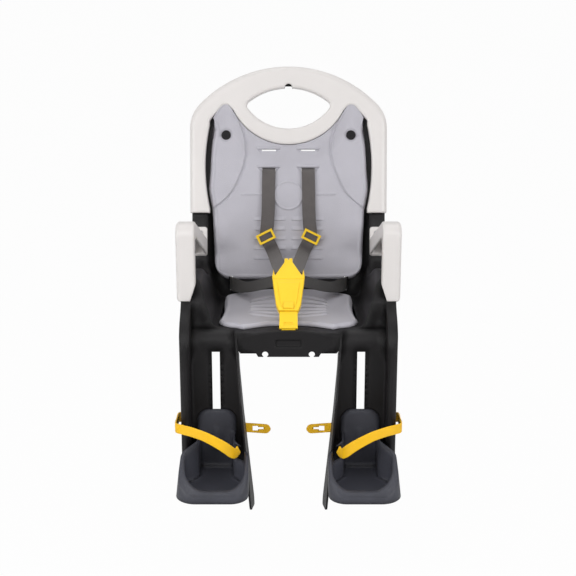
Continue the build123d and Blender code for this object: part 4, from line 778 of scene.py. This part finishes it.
@dataclass
class Harness:
    """Shoulder and lap webbing, each band from its slot in the backrest to the buckle's tongue.

    Attributes:
        web: the webbing.
        slot_x, slot_s: shoulder slot on the backrest.
        adjuster: place of the adjuster on the backrest: x, height, lift.
        tilt: degrees that the strap is turned at the adjuster.
        lap_x, lap_s: lap slot on the backrest.
    """

    web: Band = Band(25.0, 1.8)
    slot_x: float = 37.5
    slot_s: float = 231.0
    adjuster: tuple[float, float, float] = (43.0, 102.0, 19.0)
    tilt: float = 26.5
    lap_x: float = 110.0
    lap_s: float = 13.0

    def strap(
            self, node: str, side: Side, stations: list, finish: Finish) -> None:
        """Make one band through its stations.

        Args:
            node: the node it replaces.
            side: the half it is on.
            stations: pairs of place and width direction on the right half, in millimetres.
            finish: the webbing's finish.
        """
        flip = np.array([side.value, 1.0, 1.0])
        rows = np.array([np.concatenate([place, width]) for place, width in stations])
        line = through(rows, 14)
        path, across = line[:, :3] * flip, line[:, 3:] * flip
        points, faces, uv = self.web.sweep(path, across * side.value, np.ones(len(path)))
        piece = make_object(f"{node}_web", points, faces, finish, uv)
        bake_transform(piece)
        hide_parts(node)
        LOG.info("built %s", piece.name)

    def build(self) -> None:
        """Make the four straps."""
        for side in Side:
            self.shoulder(side)
            self.lap(side)

    def shoulder(self, side: Side) -> None:
        """Shoulder strap: behind the plate, out of its slot, down the pad, through the adjuster, to the tongue."""
        tilt = math.radians(self.tilt)
        level, up = np.array([1.0, 0, 0]), BACK.points(0, 1, 0) / MM - BACK.points(0, 0, 0) / MM
        across = level * math.cos(tilt) - up * math.sin(tilt)
        along = -level * math.sin(tilt) - up * math.cos(tilt)
        middle = BACK.points(*self.adjuster) / MM
        tongue = BUCKLE.points(13.8, 121.4, 7.0) / MM
        turn, rise = math.radians(34), np.array([0, 0.743, 0.669])
        width = level * math.cos(turn) - rise * math.sin(turn)
        stations = [
            (BACK.points(self.slot_x, self.slot_s + 2, -9.0) / MM, level),
            (BACK.points(self.slot_x, self.slot_s + 0.6, 3.0) / MM, level),
            (BACK.points(self.slot_x, self.slot_s - 1.5, 11.5) / MM, level),
            (BACK.points(self.slot_x, self.slot_s - 8, 14.4) / MM, level),
            (BACK.points(self.slot_x + 0.6, 195.0, 14.6) / MM, level),
            (BACK.points(self.slot_x + 1.0, 160.0, 16.2) / MM, level),
            (BACK.points(self.slot_x + 2.2, 130.0, 18.4) / MM, level - up * 0.06),
            (BACK.points(self.slot_x + 4.0, 112.0, 19.0) / MM, level - up * 0.26),
            (middle + along * 3.0, across),
            (middle + along * 14.0, across),
            (middle + along * 30.0, across),
            (0.5 * (middle + along * 30.0) + 0.5 * tongue, across + width),
            (tongue, width),
        ]
        self.strap(f"shoulder_strap_{side.word}", side, stations, WEBBING)

    def lap(self, side: Side) -> None:
        """Lap strap: out of its slot, then flat over the lap and sagging a little, to the back of the tongue."""
        up = BACK.points(0, 1, 0) / MM - BACK.points(0, 0, 0) / MM
        rise = BUCKLE.points(0, 1, 0) / MM - BUCKLE.points(0, 0, 0) / MM
        mouth = BACK.points(self.lap_x - 1.0, self.lap_s, 15.0) / MM
        tongue = BUCKLE.points(12.0, 109.0, -1.8) / MM
        stations = [
            (BACK.points(self.lap_x, self.lap_s, -8.0) / MM, up),
            (BACK.points(self.lap_x - 0.2, self.lap_s, 5.0) / MM, up),
            (mouth, up),
        ]
        flat = np.array([0.0, 0.90, 0.436])
        for share, sag, lean in ((0.22, 9.0, 0.0), (0.5, 8.0, 0.1), (0.78, 3.0, 0.5), (1.0, 0.0, 1.0)):
            place = mouth * (1 - share) + tongue * share - np.array([0, 0, sag])
            stations.append((place, flat * (1 - lean) + rise * lean))
        # The lap straps get the darker webbing, whose darkness is painted shade.
        self.strap(f"lap_strap_{side.word}", side, stations, SHADED_LAP_WEBBING)


@dataclass
class FootStraps:
    """Rubber straps over the feet and round the legs.

    Attributes:
        rubber: the band.
        rear, outside: middle line behind the slider and outside the leg.
        peg: height of the slider's peg.
        holes: x and z spans of the keyhole's two parts and of the peg's hole.
    """

    rubber: Band = Band(18.5, 2.6, 0.8)
    rear: float = 13.0
    outside: float = 199.8
    peg: float = -136.0
    holes: tuple = (((46, 63), (-151.5, -146.5)), ((56, 66), (-154, -144)), ((126.2, 132.8), (-139.3, -132.7)))

    def route(self) -> np.ndarray:
        """Middle line of the right strap in millimetres.

        Returns:
            An n by 3 array from the cup's inner wall to the free tail.
        """
        out, rear, peg = self.outside, self.rear, self.peg
        return np.array([
            (88.5, -70, -148), (93.0, -77, -152.5), (99.5, -87, -147), (109, -94, -136), (120, -98, -126.5),
            (133, -98.5, -118.5), (146.5, -96, -112.4), (160, -91, -109.3), (173.5, -83, -108.3), (188, -72, -109.4),
            (out, -58, -111.5), (out + 0.4, -28, -115), (out, 1, -118), (195, 10, -121), (186, rear, -124),
            (145.5, rear, peg), (129.5, rear, peg), (113.5, rear, peg),
            (94, 21.5, -145), (64, 23.6, -148.5), (33, 24, -151),
        ], dtype=float)

    def build(self) -> None:
        """Make both straps, each riding on its footrest."""
        for side in Side:
            flip = np.array([side.value, 1.0, 1.0])
            path = through(self.route(), 9)
            run = np.concatenate([[0], np.cumsum(np.linalg.norm(np.diff(path, axis=0), axis=1))])
            left = np.clip((run[-1] - run) / (self.rubber.width / 2), 0.02, 1)
            taper = np.sqrt(1 - (1 - left) ** 2)
            across = np.tile([0.0, 0.0, 1.0], (len(path), 1)) * side.value
            points, faces, uv = self.rubber.sweep(path * flip, across, taper)
            name = f"foot_strap_{side.word}"
            piece = make_object(f"{name}_rubber", points, faces, FOOT_RUBBER, uv)
            for x, z in self.holes:
                box = np.array([(a, b, c) for a in x for b in (0, 40) for c in z], float)
                cut_boxes(piece, [(box * flip)[::side.value] * MM])
            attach(piece, f"foot_{side.word}")
            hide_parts(name)
            LOG.info("built %s", piece.name)


@dataclass(frozen=True)
class Studio:
    """White floor, soft lamps and the camera of the photograph.

    Attributes:
        target: where the camera looks, in metres.
        distance: how far it stands.
        elevation: degrees above the level.
        focal: focal length in pixels of a 576 pixel frame.
        middle: pixel column of the optical axis.
    """

    target: tuple[float, float, float] = (0.0, 0.120, 0.091)
    distance: float = 2.5
    elevation: float = 18.0
    focal: float = 1348.3
    middle: float = 288.5

    def build(self) -> None:
        """Set the view transform and make world, floor, lamps and camera."""
        scene = bpy.context.scene
        scene.view_settings.view_transform = "Standard"
        self.world(scene)
        self.floor()
        self.lamp("key", (-0.5, -2.2, 2.0), 1.5, 17.5)
        self.lamp("left", (-1.7, -1.3, 0.6), 1.2, 22.0)
        self.lamp("right", (1.7, -1.3, 0.6), 1.2, 20.0)
        self.lamp("top", (0.0, 0.7, 2.6), 1.6, 14.0)
        self.camera(scene)

    def world(self, scene: bpy.types.Scene) -> None:
        """White world to the camera, in gloss and through glass; a dimmer white as light.

        In gloss the side behind the seat is the white backdrop, and the room in front of it is dimmer.
        """
        world = bpy.data.worlds.new("studio")
        scene.world = world
        world.use_nodes = True
        nodes, links = world.node_tree.nodes, world.node_tree.links
        dim, bright = nodes["Background"], nodes.new("ShaderNodeBackground")
        dim.inputs["Color"].default_value = (1, 1, 1, 1)
        dim.inputs["Strength"].default_value = 0.42
        bright.inputs["Color"].default_value = (1, 1, 1, 1)
        bright.inputs["Strength"].default_value = 1.0
        room = self.room(world.node_tree, "Generated", -0.6, 0.5, 0.0)
        mix = nodes.new("ShaderNodeMixShader")
        links.new(self.seen(world.node_tree, room), mix.inputs["Fac"])
        links.new(dim.outputs["Background"], mix.inputs[1])
        links.new(bright.outputs["Background"], mix.inputs[2])
        links.new(mix.outputs["Shader"], nodes["World Output"].inputs["Surface"])

    def seen(self, tree: bpy.types.NodeTree, room: bpy.types.NodeSocket) -> bpy.types.NodeSocket:
        """Socket that is 1 for camera and transmission rays, the room's share for glossy rays and 0 for the rest."""
        path = tree.nodes.new("ShaderNodeLightPath")
        gloss = tree.nodes.new("ShaderNodeMath")
        gloss.operation = "MULTIPLY"
        tree.links.new(path.outputs["Is Glossy Ray"], gloss.inputs[0])
        tree.links.new(room, gloss.inputs[1])
        total = path.outputs["Is Camera Ray"]
        for output in (gloss.outputs["Value"], path.outputs["Is Transmission Ray"]):
            more = tree.nodes.new("ShaderNodeMath")
            more.operation, more.use_clamp = "ADD", True
            tree.links.new(total, more.inputs[0])
            tree.links.new(output, more.inputs[1])
            total = more.outputs["Value"]
        return total

    def room(
            self, tree: bpy.types.NodeTree, place: str, near: float, far: float, least: float) -> bpy.types.NodeSocket:
        """Share of the white backdrop that gloss shows: all of it behind the seat, little in front.

        Args:
            tree: the nodes of the world or of the floor.
            place: the coordinates that are read: Generated for a direction, Object for a place.
            near, far: where along Y the share starts to grow and where it is 1.
            least: the share in front.

        Returns:
            The socket with the share.
        """
        coords, parts = tree.nodes.new("ShaderNodeTexCoord"), tree.nodes.new("ShaderNodeSeparateXYZ")
        share = tree.nodes.new("ShaderNodeMapRange")
        share.inputs["From Min"].default_value, share.inputs["From Max"].default_value = near, far
        share.inputs["To Min"].default_value = least
        tree.links.new(coords.outputs[place], parts.inputs["Vector"])
        tree.links.new(parts.outputs["Y"], share.inputs["Value"])
        return share.outputs["Result"]

    def floor(self) -> None:
        """Wide pale floor below the seat, mostly white to the camera, that keeps a soft shadow."""
        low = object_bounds()[0][2] - 0.12
        points = np.array([(x, y, low) for x, y in ((-20, -20), (20, -20), (20, 20), (-20, 20))], float)
        mesh = bpy.data.meshes.new("floor")
        mesh.from_pydata(points.tolist(), [], [[0, 1, 2, 3]])
        made = bpy.data.materials.new("floor_white")
        made.use_nodes = True
        nodes, links = made.node_tree.nodes, made.node_tree.links
        matte, glow, mix = nodes["Principled BSDF"], nodes.new("ShaderNodeEmission"), nodes.new("ShaderNodeMixShader")
        matte.inputs["Base Color"].default_value = (0.62, 0.62, 0.62, 1)
        matte.inputs["Roughness"].default_value = 0.9
        glow.inputs["Strength"].default_value = 1.0
        share = nodes.new("ShaderNodeMath")
        share.operation = "MULTIPLY"
        share.inputs[1].default_value = 0.97
        links.new(self.seen(made.node_tree, self.room(made.node_tree, "Object", 0.7, 2.5, 0.0)), share.inputs[0])
        links.new(share.outputs["Value"], mix.inputs["Fac"])
        links.new(matte.outputs["BSDF"], mix.inputs[1])
        links.new(glow.outputs["Emission"], mix.inputs[2])
        links.new(mix.outputs["Shader"], nodes["Material Output"].inputs["Surface"])
        mesh.materials.append(made)
        floor = bpy.data.objects.new("floor", mesh)
        bpy.context.scene.collection.objects.link(floor)
        floor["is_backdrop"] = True

    def lamp(self, name: str, place: tuple[float, float, float], size: float, power: float) -> None:
        """Square soft lamp that faces the seat.

        Args:
            name: the lamp's name.
            place: where it hangs, in metres.
            size: edge length in metres.
            power: watts.
        """
        light = bpy.data.lights.new(name, "AREA")
        light.size, light.energy = size, power
        lamp = bpy.data.objects.new(name, light)
        lamp.location = place
        from_seat = np.array(place) - np.array(self.target)
        lamp.rotation_euler = (
            math.acos(from_seat[2] / np.linalg.norm(from_seat)), 0.0, math.atan2(from_seat[0], -from_seat[1]))
        bpy.context.scene.collection.objects.link(lamp)

    def camera(self, scene: bpy.types.Scene) -> None:
        """Camera in front of the seat, at the photograph's height and focal length."""
        lens = bpy.data.cameras.new("camera")
        lens.sensor_width = 36.0
        lens.lens = self.focal / 576.0 * lens.sensor_width
        lens.shift_x = (288.0 - self.middle) / 576.0
        lens.clip_end = 50.0
        camera = bpy.data.objects.new("camera", lens)
        turn = math.radians(self.elevation)
        x, y, z = self.target
        camera.location = (x, y - self.distance * math.cos(turn), z + self.distance * math.sin(turn))
        camera.rotation_euler = (math.radians(90) - turn, 0.0, 0.0)
        scene.collection.objects.link(camera)
        scene.camera = camera


def main() -> None:
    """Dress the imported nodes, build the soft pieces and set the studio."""
    logging.basicConfig(level=logging.INFO, format="%(name)s: %(message)s")
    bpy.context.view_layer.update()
    dress_nodes()
    back_pad = BackPad()
    cut_boxes(back_pad.build(PAD_FOAM, "seat"), back_pad.cutters())
    SeatPad().build(PAD_FOAM, "seat")
    Harness().build()
    FootStraps().build()
    Studio().build()


if __name__ == "__main__":
    main()
